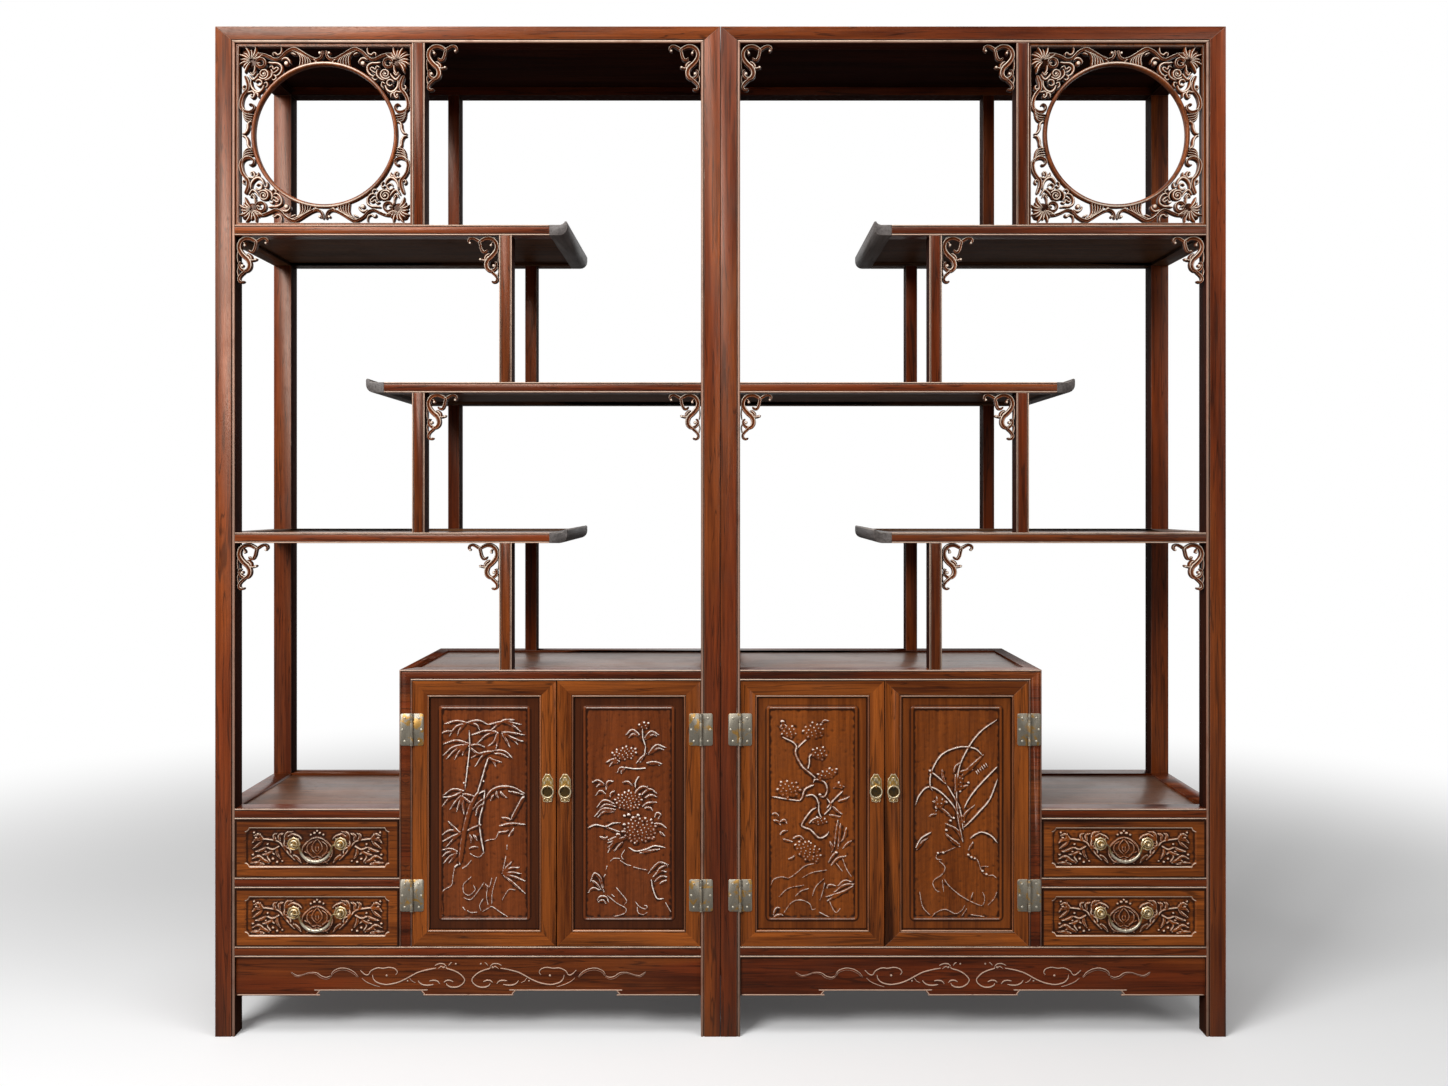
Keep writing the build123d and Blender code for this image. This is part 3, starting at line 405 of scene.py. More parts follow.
def faceMasks(mesh, rounded, highlightLines, dark):
    # Rim, line and relief of each face. The cavity is the share of a face's outline that lies in a
    # hollow corner: where the next face's middle stands above this face. The rim is a rounded edge out
    # of a hollow, for wear; the line is a painted highlight on slender faces and rims, full on level ones
    # that look up or forward and weaker on upright ones; narrow faces in a cavity get painted shade as
    # grooves, and the flats next to a groove, found by two steps over the neighbours, get half of it. Rounded
    # edges along the seam of the pair are painted dark as shade in the gap, and with dark set those along the
    # outline as seen from the front too
    ends = fieldOf(mesh.edges, "vertices", np.int64, 2)
    points = fieldOf(mesh.vertices, "co", width=3)
    run = np.abs(points[ends[:, 0]] - points[ends[:, 1]])
    length = np.linalg.norm(run, axis=1)
    loopEdge = fieldOf(mesh.loops, "edge_index", np.int64)
    start = fieldOf(mesh.polygons, "loop_start", np.int64)
    loopFace = np.repeat(np.arange(len(start)), fieldOf(mesh.polygons, "loop_total", np.int64))
    around = np.add.reduceat(length[loopEdge], start)
    upright = np.add.reduceat(run[loopEdge, 2], start) / around > edgeWearAndPaintedLight["upright"]
    normal = fieldOf(mesh.polygons, "normal", width=3)
    centre = fieldOf(mesh.polygons, "center", width=3)
    order = np.argsort(loopEdge, kind="stable")
    same = loopEdge[order][1:] == loopEdge[order][:-1]
    one, other, edge = loopFace[order][:-1][same], loopFace[order][1:][same], loopEdge[order][1:][same]
    away = centre[other] - centre[one]
    lean = (normal[one] * away).sum(axis=1) / (np.linalg.norm(away, axis=1) + 1e-9)
    cavity = np.zeros(len(start))
    for face in (one, other):
        np.add.at(cavity, face, length[edge] * (lean > edgeWearAndPaintedLight["hollowCorner"]))
    cavity /= around
    width = 2.0 * fieldOf(mesh.polygons, "area") / around
    bare = cavity < edgeWearAndPaintedLight["bare"]
    slender = width < edgeWearAndPaintedLight["slender"]
    # Painted highlight: the line is brighter on faces that look up, and on upright faces only where they look
    # forward
    level = np.clip(edgeWearAndPaintedLight["level"] + edgeWearAndPaintedLight["levelLean"] * normal[:, 2], 0, 1)**2
    post = highlightLines * np.clip(-normal[:, 1], 0, 1)
    seen = bare * (normal[:, 1] < edgeWearAndPaintedLight["back"])
    line = np.where(rounded, edgeWearAndPaintedLight["rim"], slender) * np.where(upright, post, level) * seen
    # Painted shade: narrow faces in a hollow corner go dark as grooves, and the flats beside a groove go half
    # dark
    narrow = np.clip(1 - (width - edgeWearAndPaintedLight["slender"]) / edgeWearAndPaintedLight["grooveFade"], 0, 1)
    groove = -np.clip(cavity * edgeWearAndPaintedLight["groove"], 0, 1) * narrow * ~bare
    beside = ~bare
    for _ in range(2):
        touched = beside.copy()
        np.maximum.at(touched, one, beside[other])
        np.maximum.at(touched, other, beside[one])
        beside = touched
    flank = beside & bare & (width > edgeWearAndPaintedLight["slender"]) & (width < edgeWearAndPaintedLight["flank"])
    relief = np.where(flank, edgeWearAndPaintedLight["flankShade"], groove)
    rim = rounded * bare
    # Painted shade: rounded edges on the seam of the pair, and with dark set on the outline, go fully dark as
    # shade in the gap
    inset = np.minimum(centre - points.min(axis=0), points.max(axis=0) - centre)[:, (0, 2)].min(axis=1)
    gapShade = (dark & (inset < edgeWearAndPaintedLight["gapShade"]) | (np.abs(centre[:, 0]) < edgeWearAndPaintedLight["seam"])) & rounded
    return {"rim": rim * ~gapShade, "line": line * ~gapShade, "relief": np.where(gapShade, -1.0, relief)}


def dressed(node, bevel, highlightLines, plane, dark):
    # A merged copy of a CAD node's mesh with its flat faces joined, its edges rounded by the Bevel
    # modifier, a rim mask for wear on the faces that the rounding made, the painted highlight line along its
    # beads, and painted shade in its grooves and gaps
    mesh = frame["nodes"][node].data.copy()
    work = bmesh.new()
    work.from_mesh(mesh)
    bmesh.ops.remove_doubles(work, verts=work.verts, dist=edgeWearAndPaintedLight["merge"])
    bmesh.ops.dissolve_limit(work, angle_limit=math.radians(edgeWearAndPaintedLight["flat"]), verts=work.verts, edges=work.edges)
    work.to_mesh(mesh)
    work.free()
    mesh.materials.clear()
    for _ in range(2):
        mesh.materials.append(None)
    mesh.polygons.foreach_set("material_index", np.zeros(len(mesh.polygons), dtype=np.int32))
    mesh.polygons.foreach_set("use_smooth", np.ones(len(mesh.polygons), dtype=bool))
    made = bpy.data.objects.new(node + "Work", mesh)
    bpy.context.scene.collection.objects.link(made)
    rounding = made.modifiers.new("edge", "BEVEL")
    rounding.width = bevel
    rounding.segments = edgeWearAndPaintedLight["segments"]
    rounding.limit_method = "ANGLE"
    rounding.angle_limit = math.radians(edgeWearAndPaintedLight["turn"])
    rounding.harden_normals = True
    rounding.material = 1
    bpy.context.view_layer.update()
    graph = bpy.context.evaluated_depsgraph_get()
    result = bpy.data.meshes.new_from_object(made.evaluated_get(graph), preserve_all_data_layers=True,
                                             depsgraph=graph)
    bpy.data.objects.remove(made)
    index = fieldOf(result.polygons, "material_index", np.int32)
    for label, share in faceMasks(result, index > 0, highlightLines, dark).items():
        layer = result.attributes.new(label, "FLOAT", "FACE")
        layer.data.foreach_set("value", share.astype(np.float32))
    result.polygons.foreach_set("material_index", np.zeros(len(index), dtype=np.int32))
    if plane:
        storeFrameGrain(result, *plane)
    else:
        storeGrain(result)
    result.name = node + "Mesh"
    return result


def redFront(mesh):
    # The front rail of a shelf is of the red wood: the faces nearer to the front than its depth
    mesh.materials.append(woods["railWood"])
    near = fieldOf(mesh.polygons, "center", width=3)[:, 1] < edgeWearAndPaintedLight["frontRail"] - backShift
    mesh.polygons.foreach_set("material_index", near.astype(np.int32))


def shadeInnerSides(mesh, label):
    # Painted shade: the inner sides of the posts and the underside of the roof take a darker, rough copy of
    # the frame wood: broad faces that look along the width, on the corner posts only those away from the two
    # ends, or down
    x = fieldOf(mesh.polygons, "center", width=3)[:, 0]
    normal = fieldOf(mesh.polygons, "normal", width=3)
    hidden = -normal[:, 2] if label == "top_frame" else np.abs(normal[:, 0])
    dull = (hidden > edgeWearAndPaintedLight["facing"]) & (fieldOf(mesh.polygons, "area") > edgeWearAndPaintedLight["sideArea"])
    if label == "corner_posts":
        dull &= (x > x.min() + edgeWearAndPaintedLight["sideGap"]) & (x < x.max() - edgeWearAndPaintedLight["sideGap"])
    mesh.materials.append(woods["shadedSideWood"])
    mesh.polygons.foreach_set("material_index", dull.astype(np.int32))


# Finish, width of the rounded edge and strength of the painted highlight lines of each kind of timber
timber = {
    "corner_posts": ("railWood", 0.0009, 0.34), "top_frame": ("railWood", 0.0009, 0.24),
    "dividers": ("frameWood", 0.0006, 0.62), "upper_shelf": ("shelfWood", 0.0006, 0.24),
    "middle_shelf": ("shelfWood", 0.0006, 0.24), "lower_shelf": ("shelfWood", 0.0006, 0.24),
    "shelf_end_caps": ("capWood", 0.0008, 0.24), "case_frame": ("frameWood", 0.0006, 0.14),
    "case_panels": ("boardWood", 0.0005, 0.24), "aprons": ("frameWood", 0.0008, 0.24),
    "outer_door_frame": ("amberWood", 0.0006, 0.14), "inner_door_frame": ("amberWood", 0.0006, 0.14),
    "upper_drawer_box": ("boxWood", 0.0008, 0.24), "lower_drawer_box": ("boxWood", 0.0008, 0.24),
}
mitredPlane = {"top_frame": (0, 1), "outer_door_frame": (0, 2), "inner_door_frame": (0, 2)}
for side in sides:
    for label, (wood, bevel, highlightLines) in timber.items():
        node = side + "_" + label
        mesh = dressed(node, bevel, highlightLines, mitredPlane.get(label), wood == "amberWood")
        finishPiece(node + "Wood", mesh, woods[wood], node)
        if wood == "shelfWood":
            redFront(mesh)
        if label in ("corner_posts", "dividers", "top_frame"):
            shadeInnerSides(mesh, label)
print("timbers dressed")


class Heap:
    # Gathers the surfaces of one piece, in millimetres: vertices, four-cornered faces, end faces and relief
    def __init__(self):
        self.points, self.quads, self.ends, self.relief = [], [], [], []
        self.count = 0

    def grid(self, points, relief, closeLong=False):
        # A grid of rows and columns as faces. Each row is a closed ring; with closeLong the last row
        # joins the first, and otherwise the first and last rows get an end face
        rows, columns = points.shape[:2]
        number = np.arange(rows * columns).reshape(rows, columns) + self.count
        number = np.hstack([number, number[:, :1]])
        if closeLong:
            number = np.vstack([number, number[:1]])
        else:
            self.ends += [list(map(int, e)) for e in (number[0, :-1][::-1], number[-1, :-1])]
        corners = (number[:-1, :-1], number[:-1, 1:], number[1:, 1:], number[1:, :-1])
        self.quads.append(np.stack(corners, axis=-1).reshape(-1, 4))
        self.points.append(points.reshape(-1, 3))
        self.relief.append(np.broadcast_to(relief, (rows, columns)).reshape(-1))
        self.count += rows * columns

    def plate(self, x, z, y, back, relief):
        # A carved board: x along the columns, z down the rows, y the carved face, with walls and a flat back;
        # the walls take a relief of -0.5, a painted shade
        rows, columns = y.shape
        number = np.arange(rows * columns).reshape(rows, columns)
        edge = np.concatenate([number[0, :-1], number[:-1, -1], number[-1, :0:-1], number[:0:-1, 0]])
        face = np.stack([np.broadcast_to(x, y.shape), y, np.broadcast_to(z[:, None], y.shape)], axis=-1)
        face = face.reshape(-1, 3)
        behind = face[edge] * (1, 0, 1) + (0, back, 0)
        lower = np.arange(len(edge)) + len(face)
        corners = (number[:-1, :-1], number[1:, :-1], number[1:, 1:], number[:-1, 1:])
        walls = (edge, np.roll(edge, -1), np.roll(lower, -1), lower)
        self.quads += [np.stack(c, axis=-1).reshape(-1, 4) + self.count for c in (corners, walls)]
        self.ends.append([int(k) + self.count for k in lower[::-1]])
        self.points += [face, behind]
        self.relief += [relief.reshape(-1), np.full(len(edge), -0.5)]
        self.count += len(face) + len(edge)

    def mesh(self, name, side=0.0, grainOrder=(2, 0, 1), sharp=50.0):
        # One mesh in metres; side puts a cabinet's own x into the row, and 0 keeps x as it is.
        # Edges that turn by more than sharp stay crisp
        points = np.vstack(self.points)
        grain = points[:, grainOrder] / perMetre + rng.uniform(-grainSpread, grainSpread, 3)
        if side:
            points = points * (side, 1, 1) + (side * seam * perMetre, -backShift * perMetre, 0)
        made = bpy.data.meshes.new(name)
        made.from_pydata((points / perMetre).tolist(), [], np.vstack(self.quads).tolist() + self.ends)
        storePoints(made, "grain", grain)
        storePoints(made, "relief", np.concatenate(self.relief))
        work = bmesh.new()
        work.from_mesh(made)
        bmesh.ops.recalc_face_normals(work, faces=work.faces)
        work.to_mesh(made)
        work.free()
        made.polygons.foreach_set("use_smooth", np.ones(len(made.polygons), dtype=bool))
        made.set_sharp_from_angle(angle=math.radians(sharp))
        return made


def smoothPath(spots, count, between=24):
    # Catmull-Rom curve through the spots, with some places between each two, then sampled at even
    # lengths; every column is carried along
    spots = np.asarray(spots, dtype=float)
    padded = np.vstack([2 * spots[0] - spots[1], spots, 2 * spots[-1] - spots[-2]])
    t = np.linspace(0, len(spots) - 1, between * (len(spots) - 1) + 1)
    k = np.minimum(t.astype(int), len(spots) - 2)
    f = (t - k)[:, None]
    a, b, c, d = (padded[k + i] for i in range(4))
    curve = 0.5 * (2 * b + (c - a) * f + (2 * a - 5 * b + 4 * c - d) * f**2
                   + (3 * b - a - 3 * c + d) * f**3)
    run = np.concatenate([[0], np.cumsum(np.linalg.norm(np.diff(curve[:, :2], axis=0), axis=1))])
    even = np.linspace(0, run[-1], count)
    return np.stack([np.interp(even, run, column) for column in curve.T], axis=1)


# Sections of a carved stroke: share of the half width across, share of the board's thickness back,
# relief for the finish, pale crests as wear and painted highlight and a dark foot as painted shade; a ridge
# is round on top, a gouge has a hollow between two lips
ridgeSection = np.array([(-1, 1, -1), (-1, 0.42, -0.6), (-0.86, 0.22, -0.1), (-0.5, 0.06, 0.5),
                         (0, 0, 0.9), (0.5, 0.06, 0.5), (0.86, 0.22, -0.1), (1, 0.42, -0.6), (1, 1, -1)])
gougeSection = np.array([(-1, 1, -1), (-1, 0.34, -0.5), (-0.88, 0.08, 0.5), (-0.66, 0.0, 1.0),
                         (-0.35, 0.17, 0), (0, 0.27, -0.7), (0.35, 0.17, 0), (0.66, 0.0, 1.0),
                         (0.88, 0.08, 0.5), (1, 0.34, -0.5), (1, 1, -1)])
bladeSection = np.array([(-1, 1, -1), (-1, 0.4, -0.5), (-0.55, 0.16, 0.0), (-0.12, 0.0, 1.0),
                         (0.12, 0.02, 0.8), (0.2, 0.16, -0.6), (0.6, 0.2, 0.1), (1, 0.45, -0.5), (1, 1, -1)])
# The ground behind the strokes is flat and dark all over, a painted shade
groundSection = ridgeSection * (1, 1, 0) - (0, 0, 0.9)
tipShape = {"least": 0.4, "run": 2.0, "blunt": 0.12, "drop": 0.3, "lit": 0.55}


def stroke(heap, spots, front, back, section=ridgeSection, step=2.2):
    # Sweeps a section along a path of (x, z, width) in the board's plane; y runs from front to back,
    # the free ends round off to a blunt tip, and the relief is raised on the flank that looks up as a painted
    # highlight
    spots = np.asarray(spots, dtype=float)
    length = np.linalg.norm(np.diff(spots[:, :2], axis=0), axis=1).sum()
    path = smoothPath(spots, max(int(length / step) + 2, 6))
    heading = np.gradient(path[:, :2], axis=0)
    heading /= np.linalg.norm(heading, axis=1)[:, None] + 1e-9
    across = np.stack([-heading[:, 1], heading[:, 0]], axis=1)
    half = np.maximum(path[:, 2], tipShape["least"]) / 2
    share = np.linspace(0, 1, len(path))
    fromEnd = np.minimum(np.minimum(share, 1 - share) * length / tipShape["run"], 1.0)
    tip = np.sqrt(np.clip(1 - (1 - fromEnd)**2, tipShape["blunt"], 1))
    side = section[None, :, 0] * (half * tip)[:, None]
    drop = (1 - tip)[:, None] * tipShape["drop"]
    depth = front + (back - front) * np.clip(section[None, :, 1] + drop * (section[None, :, 1] < 0.9), 0, 1)
    points = np.stack([path[:, 0:1] + across[:, 0:1] * side, depth,
                       path[:, 1:2] + across[:, 1:2] * side], axis=-1)
    lift = across[:, 1:2] * section[None, :, 0]
    heap.grid(points, np.clip(section[None, :, 2] + tipShape["lit"] * lift, -1, 1))


def barRing(heap, corners, section):
    # A closed mitred bar round a rectangle: section is (inward, y, relief)
    x0, x1, z0, z1 = corners
    section = np.asarray(section, dtype=float)
    turns = ((x0, z0, 1, 1), (x1, z0, -1, 1), (x1, z1, -1, -1), (x0, z1, 1, -1))
    rows = [np.stack([x + dx * section[:, 0], section[:, 1], z + dz * section[:, 0]], axis=1)
            for x, z, dx, dz in turns]
    heap.grid(np.stack(rows), section[None, :, 2], closeLong=True)


def roundRing(heap, centre, radius, section, steps, dim):
    # A closed turned ring about y: section is (outward, y, relief), and its crests, pale as wear and painted
    # highlight, fade to dim where the ring runs upright, so that the painted highlight lies on the level runs
    section = np.asarray(section, dtype=float)
    angle = np.linspace(0, 2 * np.pi, steps, endpoint=False)[:, None]
    reach = radius + section[None, :, 0]
    depth = np.broadcast_to(section[None, :, 1], (steps, len(section)))
    points = np.stack([centre[0] + reach * np.cos(angle), depth, centre[1] + reach * np.sin(angle)], axis=-1)
    fade = dim + (1 - dim) * np.sin(angle)**2
    crest = section[None, :, 2]
    heap.grid(points, np.where(crest > 0, crest * fade, crest), closeLong=True)


def turned(heap, centre, profile, steps):
    # A turned knob about y, closed by its end faces: profile is (radius, y, relief)
    profile = np.asarray(profile, dtype=float)
    angle = np.linspace(0, 2 * np.pi, steps, endpoint=False)[None, :]
    radius = profile[:, 0:1]
    points = np.stack([centre[0] + radius * np.cos(angle),
                       np.broadcast_to(profile[:, 1:2], (len(profile), steps)),
                       centre[1] + radius * np.sin(angle)], axis=-1)
    heap.grid(points, profile[:, 2:3])


def bead(heap, centre, radius, front, back):
    # A small ball half sunk in the board: radius times the sine, forward by its cosine; its relief is the
    # cosine too, pale at the front as wear and painted highlight and dark at the foot as painted shade
    angle = np.linspace(0.12, np.pi / 2, 5)
    profile = [(radius * np.sin(a), front + radius * (1 - np.cos(a)), np.cos(a)) for a in angle]
    turned(heap, centre, profile + [(radius, back, -1.0)], steps=12)


# Moon window: one quarter drawn from a corner of the board as (across, down, width), then mirrored
moon = {"x0": 586.0, "x1": 923.0, "z0": 1543.0, "z1": 1889.0, "front": 5.0, "back": 17.0, "border": 5.0,
        "ringOuter": 139.5, "ringWidth": 7.0, "ringSteps": 160, "ringDim": 0.42, "stout": 1.16}
topWave = [(33, 28, 3.0), (41, 20.5, 4.6), (52, 20.5, 5.0), (64, 25, 5.2), (73, 29.3, 5.0), (81, 28.8, 4.8),
           (87, 24.5, 4.6), (94, 17, 4.8), (103, 11.4, 5.4), (112, 9.2, 5.8), (122, 14.0, 5.6),
           (134, 21.5, 5.4), (144, 27, 5.4), (153, 29.8, 5.4), (160, 27.4, 5.0), (164, 21.5, 4.6),
           (165.6, 12, 3.8)]
sideWave = [(17, 60, 4.6), (20, 67, 6.0), (23, 76, 6.6), (22.5, 86, 6.4), (17, 93, 6.0), (12, 101, 6.2),
            (9.4, 110, 6.6), (9, 117, 6.6), (11.6, 124, 6.2), (18.5, 128.4, 5.6), (27, 129, 5.0),
            (33.6, 124, 4.4), (33, 117.6, 4.0), (28, 114.6, 3.6), (24.6, 117, 2.8)]
moonCurls = [
    [(86.6, 31, 3.0), (91, 27.6, 4.0), (97, 27.4, 4.4), (102, 32, 3.6), (103, 37, 2.6)],
    [(71.4, 22.4, 2.6), (70.4, 18.4, 3.2), (74.6, 16.9, 3.4), (79, 20.6, 3.6), (85, 18, 3.6), (87, 11, 3.0),
     (86, 6, 2.6)],
    [(104, 17, 2.4), (109, 18.4, 3.8), (114, 21, 2.6)],
    [(61, 35, 3.4), (69, 36.4, 4.4), (77.8, 36.6, 4.6), (85.4, 41, 4.6), (87, 48.7, 4.6), (83, 57, 4.4),
     (76, 61, 3.8), (71, 58, 2.6)],
    [(63, 45, 2.6), (69, 42.6, 3.4), (71.6, 48.6, 3.4), (77.6, 44.6, 3.4), (81, 48, 3.4), (75.7, 53, 3.2),
     (70, 55.6, 2.6)],
    [(54, 69.6, 2.8), (62, 66.6, 3.8), (68, 60.6, 4.0), (69, 53, 3.8), (66, 48, 2.8)],
    [(74, 61, 2.8), (77, 65, 3.6), (72, 69, 3.4), (68, 66, 2.6)],
    [(38, 36.4, 2.4), (43, 37, 3.2), (46, 34.6, 2.2)],
    [(36, 40, 2.6), (35.6, 50, 4.0), (31.6, 57, 3.0)],
    [(24, 58, 2.8), (31, 67.6, 4.6), (38, 64, 4.4), (43.6, 56, 3.0)],
    [(27, 53, 2.4), (32, 60, 3.8), (37.6, 53, 2.6)],
    [(28, 69, 3.0), (29, 80, 4.8), (34.6, 88.4, 5.6), (43, 91.4, 5.6), (50, 86, 4.8), (53, 78, 3.4)],
    [(37, 73, 2.6), (41, 68.6, 4.0), (47.6, 70, 4.2), (49, 76.6, 4.0), (43, 80, 3.8), (38.6, 76, 2.8)],
    [(53, 76, 3.0), (58, 73, 3.6), (60, 79, 3.4), (56, 84, 3.0)],
    [(17, 78, 2.6), (13, 82, 3.4), (15, 87, 3.4), (19.6, 84, 2.4)],
    [(20, 92, 2.6), (26, 91.6, 3.8), (32, 90.6, 4.2), (35.4, 96.4, 4.4), (31.6, 102.6, 4.0), (27, 99.6, 2.8)],
    [(35, 93, 3.0), (41, 95, 5.0), (42, 102, 2.6)],
    [(30, 146, 3.4), (23, 152, 5.0), (22, 161, 5.4), (17.5, 169.5, 4.6), (11, 171, 3.0)],
]
moonBeads = ((95.6, 36.6, 4.6), (159.5, 17, 2.8), (52.6, 57, 2.4), (29.6, 97.4, 2.0))
rosette = {"centre": (29.0, 31.0), "rays": 11, "from": -62.0, "to": 152.0, "reach": 27.0, "border": 5.6}


def curlSpots(centre, radii, angles, widths, count):
    # A part of a spiral: radius and width change evenly with the angle
    share = np.linspace(0, 1, count)
    t = np.radians(angles[0] + (angles[1] - angles[0]) * share)
    radius = radii[0] + (radii[1] - radii[0]) * share
    width = widths[0] + (widths[1] - widths[0]) * share
    return np.stack([centre[0] + radius * np.cos(t), centre[1] + radius * np.sin(t), width], axis=1)


def moonQuarter():
    # All strokes of one quarter with their section and how far they lie behind the front face
    yield topWave, gougeSection, 0.0
    yield sideWave, gougeSection, 0.0
    for k in range(5):  # fan under the top wave
        yield [(106 + 5 * k, 12 + 1.8 * k, 2.6), (117 + 5 * k, 17.5 + 2.2 * k, 3.6),
               (122.4 + 4.8 * k, 27 + 1.4 * k, 3.8), (121 + 5.4 * k, 44 - 1.2 * k, 3.2)], bladeSection, 0.3
    for k in range(4):  # fan beside the side wave
        yield [(10.6 + 0.8 * k, 121 + 5 * k, 2.6), (17.6 + 0.6 * k, 132 + 4.6 * k, 3.8),
               (34 - 1.0 * k, 135 + 4.6 * k, 2.8)], bladeSection, 0.3
    yield [(147, 28, 3.0), (152, 33.5, 4.4), (156, 37, 3.0)], ridgeSection, 0.8
    for curl in moonCurls:
        yield curl, ridgeSection, 0.5
    yield curlSpots((47, 36), (8.2, 8.2), (-170, 170), (4.4, 5.4), 13), gougeSection, 0.0
    yield curlSpots((52.6, 57), (10.4, 2.6), (150, -470), (4.4, 2.6), 22), ridgeSection, 0.0
    yield [(12, 13, 8), (22, 24, 20), (33, 35, 20), (38, 40, 8)], groundSection, 6.5
    yield [(46, 50, 8), (52, 57, 20), (60, 60, 18), (70, 52, 10)], groundSection, 6.5
    u, v = rosette["centre"]
    edge = rosette["border"]
    for k, angle in enumerate(np.linspace(rosette["from"], rosette["to"], rosette["rays"])):
        c, s = math.cos(math.radians(angle)), math.sin(math.radians(angle))
        reach = rosette["reach"] * (1.0, 0.78)[k % 2]  # every second ray is shorter and lies deeper
        end = (max(u - reach * c, edge), max(v - reach * s, edge))
        bend = ((u + 1.4 * end[0]) / 2.4 + 2 * s, (v + 1.4 * end[1]) / 2.4 - 2 * c)
        yield [(u - 3 * c, v - 3 * s, 2.6), (*bend, 6.4), (*end, 2.4)], bladeSection, 0.4 + 1.0 * (k % 2)


def moonHeap():
    # The border, the ring, and each stroke of the quarter in all four corners
    heap = Heap()
    m = moon
    front, back = m["front"], m["back"]
    centre = ((m["x0"] + m["x1"]) / 2, (m["z0"] + m["z1"]) / 2)
    border = m["border"]
    barRing(heap, (m["x0"], m["x1"], m["z0"], m["z1"]),
            [(0, back, -0.5), (0, front, -0.3), (border - 2.2, front, 0.1), (border - 1.6, front + 0.9, -0.7),
             (border - 1.1, front + 0.2, 0.6), (border - 0.3, front + 0.2, 0.7), (border, front + 1, 0),
             (border, back, -0.8)])
    half = m["ringWidth"] / 2
    roundRing(heap, centre, m["ringOuter"] - half,
              [(half, back, -0.8), (half, front + 1.2, -0.4), (half - 1.2, front - 0.6, 0.5),
               (half - 2.6, front - 1.4, 0.9), (2.2 - half, front - 1.3, 0.5), (0.8 - half, front - 0.4, 0.2),
               (-half, front + 1.0, -0.3), (-half, back, -0.6)], m["ringSteps"], m["ringDim"])
    for spots, section, low in moonQuarter():
        spots = np.array(spots)
        for fromRight in (False, True):
            for fromTop in (False, True):
                placed = spots * (1, 1, moon["stout"])
                placed[:, 0] = m["x1"] - spots[:, 0] if fromRight else m["x0"] + spots[:, 0]
                placed[:, 1] = m["z1"] - spots[:, 1] if fromTop else m["z0"] + spots[:, 1]
                stroke(heap, placed if fromRight == fromTop else placed[::-1], front + low, back, section)
    for u, v, radius in moonBeads:
        for x in (m["x0"] + u, m["x1"] - u):
            for z in (m["z0"] + v, m["z1"] - v):
                bead(heap, (x, z), radius, front - 0.4, back)
    return heap


for side, sign in sides.items():
    node = side + "_moon_fretwork"
    finishPiece(side + "MoonWindow", moonHeap().mesh(node + "Mesh", sign), woods["fretWood"], node)
print("moon windows carved")

# Scroll spandrels: strokes as (u, v, width) from the corner below the rail, u along the rail
scrollStrokes = [
    ([(23.3, 26, 3.0), (27, 30, 4.6), (32, 30, 5.2), (35.5, 24, 5.4), (37, 17.5, 5.2), (38, 11.5, 5.5),
      (33, 7.6, 6.4), (26.5, 4.6, 7.0), (20, 4.2, 7.2), (13.5, 6.2, 7.4), (8, 11.5, 7.6), (5.4, 19, 7.8),
      (6.2, 26, 8.0), (10, 33, 8.4), (16, 39.5, 8.6), (22, 45, 8.4), (25, 51.5, 8.6), (25.4, 57, 8.6),
      (23.6, 62, 8.0), (19.5, 65.6, 7.0), (14, 65.8, 6.0), (8.5, 62, 5.2), (5.8, 56.5, 4.8), (6.8, 51.5, 4.2),
      (10.4, 50, 3.2)], gougeSection, 0.0),
    ([(35, 12.5, 5.0), (41, 9.3, 5.6), (46.5, 5.8, 5.4), (52, 3.8, 5.0), (57, 5.0, 5.0), (59.4, 9.0, 4.6),
      (57.4, 13.4, 3.6)], gougeSection, 0.4),
    ([(19, 33, 3.0), (24.5, 36, 5.4), (28.5, 41, 5.0), (27.5, 46, 3.4)], bladeSection, 0.6),
    ([(20, 38, 2.6), (24, 41, 4.2), (25, 46, 3.0)], bladeSection, 0.2),
    ([(23, 45, 4.0), (30, 46, 5.0), (36, 44.6, 4.6), (40, 43, 3.2)], bladeSection, 0.6),
    ([(20, 64, 4.0), (14, 69.5, 5.4), (8.6, 74.5, 5.4), (5.2, 80, 5.2), (6, 85.4, 5.0), (10.4, 87.8, 4.6),
      (16, 86, 3.8)], gougeSection, 0.3),
    ([(3.0, 28, 2.4), (2.2, 40, 2.8), (3.4, 51, 2.4)], ridgeSection, 0.8),
    ([(4.6, 58, 2.4), (2.4, 67, 2.8), (4.4, 77, 2.6)], ridgeSection, 0.8),
    ([(13, 11, 3.0), (16.6, 16, 4.0), (15, 20.5, 2.6)], bladeSection, 0.8),
]
bracket = {"front": 6.0, "back": 16.0, "stout": 1.1}
bracketPlaces = ((37.0, 1889.0, 1), (562.0, 1889.0, -1), (923.0, 1523.0, -1), (420.5, 1523.0, 1),
                 (37.0, 1224.0, 1), (562.0, 1224.0, -1), (923.0, 938.0, -1), (420.5, 938.0, 1))


def bracketHeap():
    # The scroll strokes and beads in each corner, turned to the side that the post is on
    heap = Heap()
    front, back = bracket["front"], bracket["back"]
    for x, z, way in bracketPlaces:
        for spots, section, low in scrollStrokes:
            placed = np.array(spots, dtype=float) * (way, -1, bracket["stout"]) + (x, z, 0)
            stroke(heap, placed[::-1] if way > 0 else placed, front + low, back, section, step=2.0)
        for u, v, radius in ((16.6, 17.4, 2.6), (11.4, 56.4, 3.0), (37, 44.4, 2.6), (56.6, 13.2, 2.4)):
            bead(heap, (x + way * u, z - v), radius, front - 0.6, back)
    return heap


for side, sign in sides.items():
    node = side + "_spandrels"
    finishPiece(side + "Spandrels", bracketHeap().mesh(node + "Mesh", sign), woods["fretWood"], node)
print("spandrels carved")


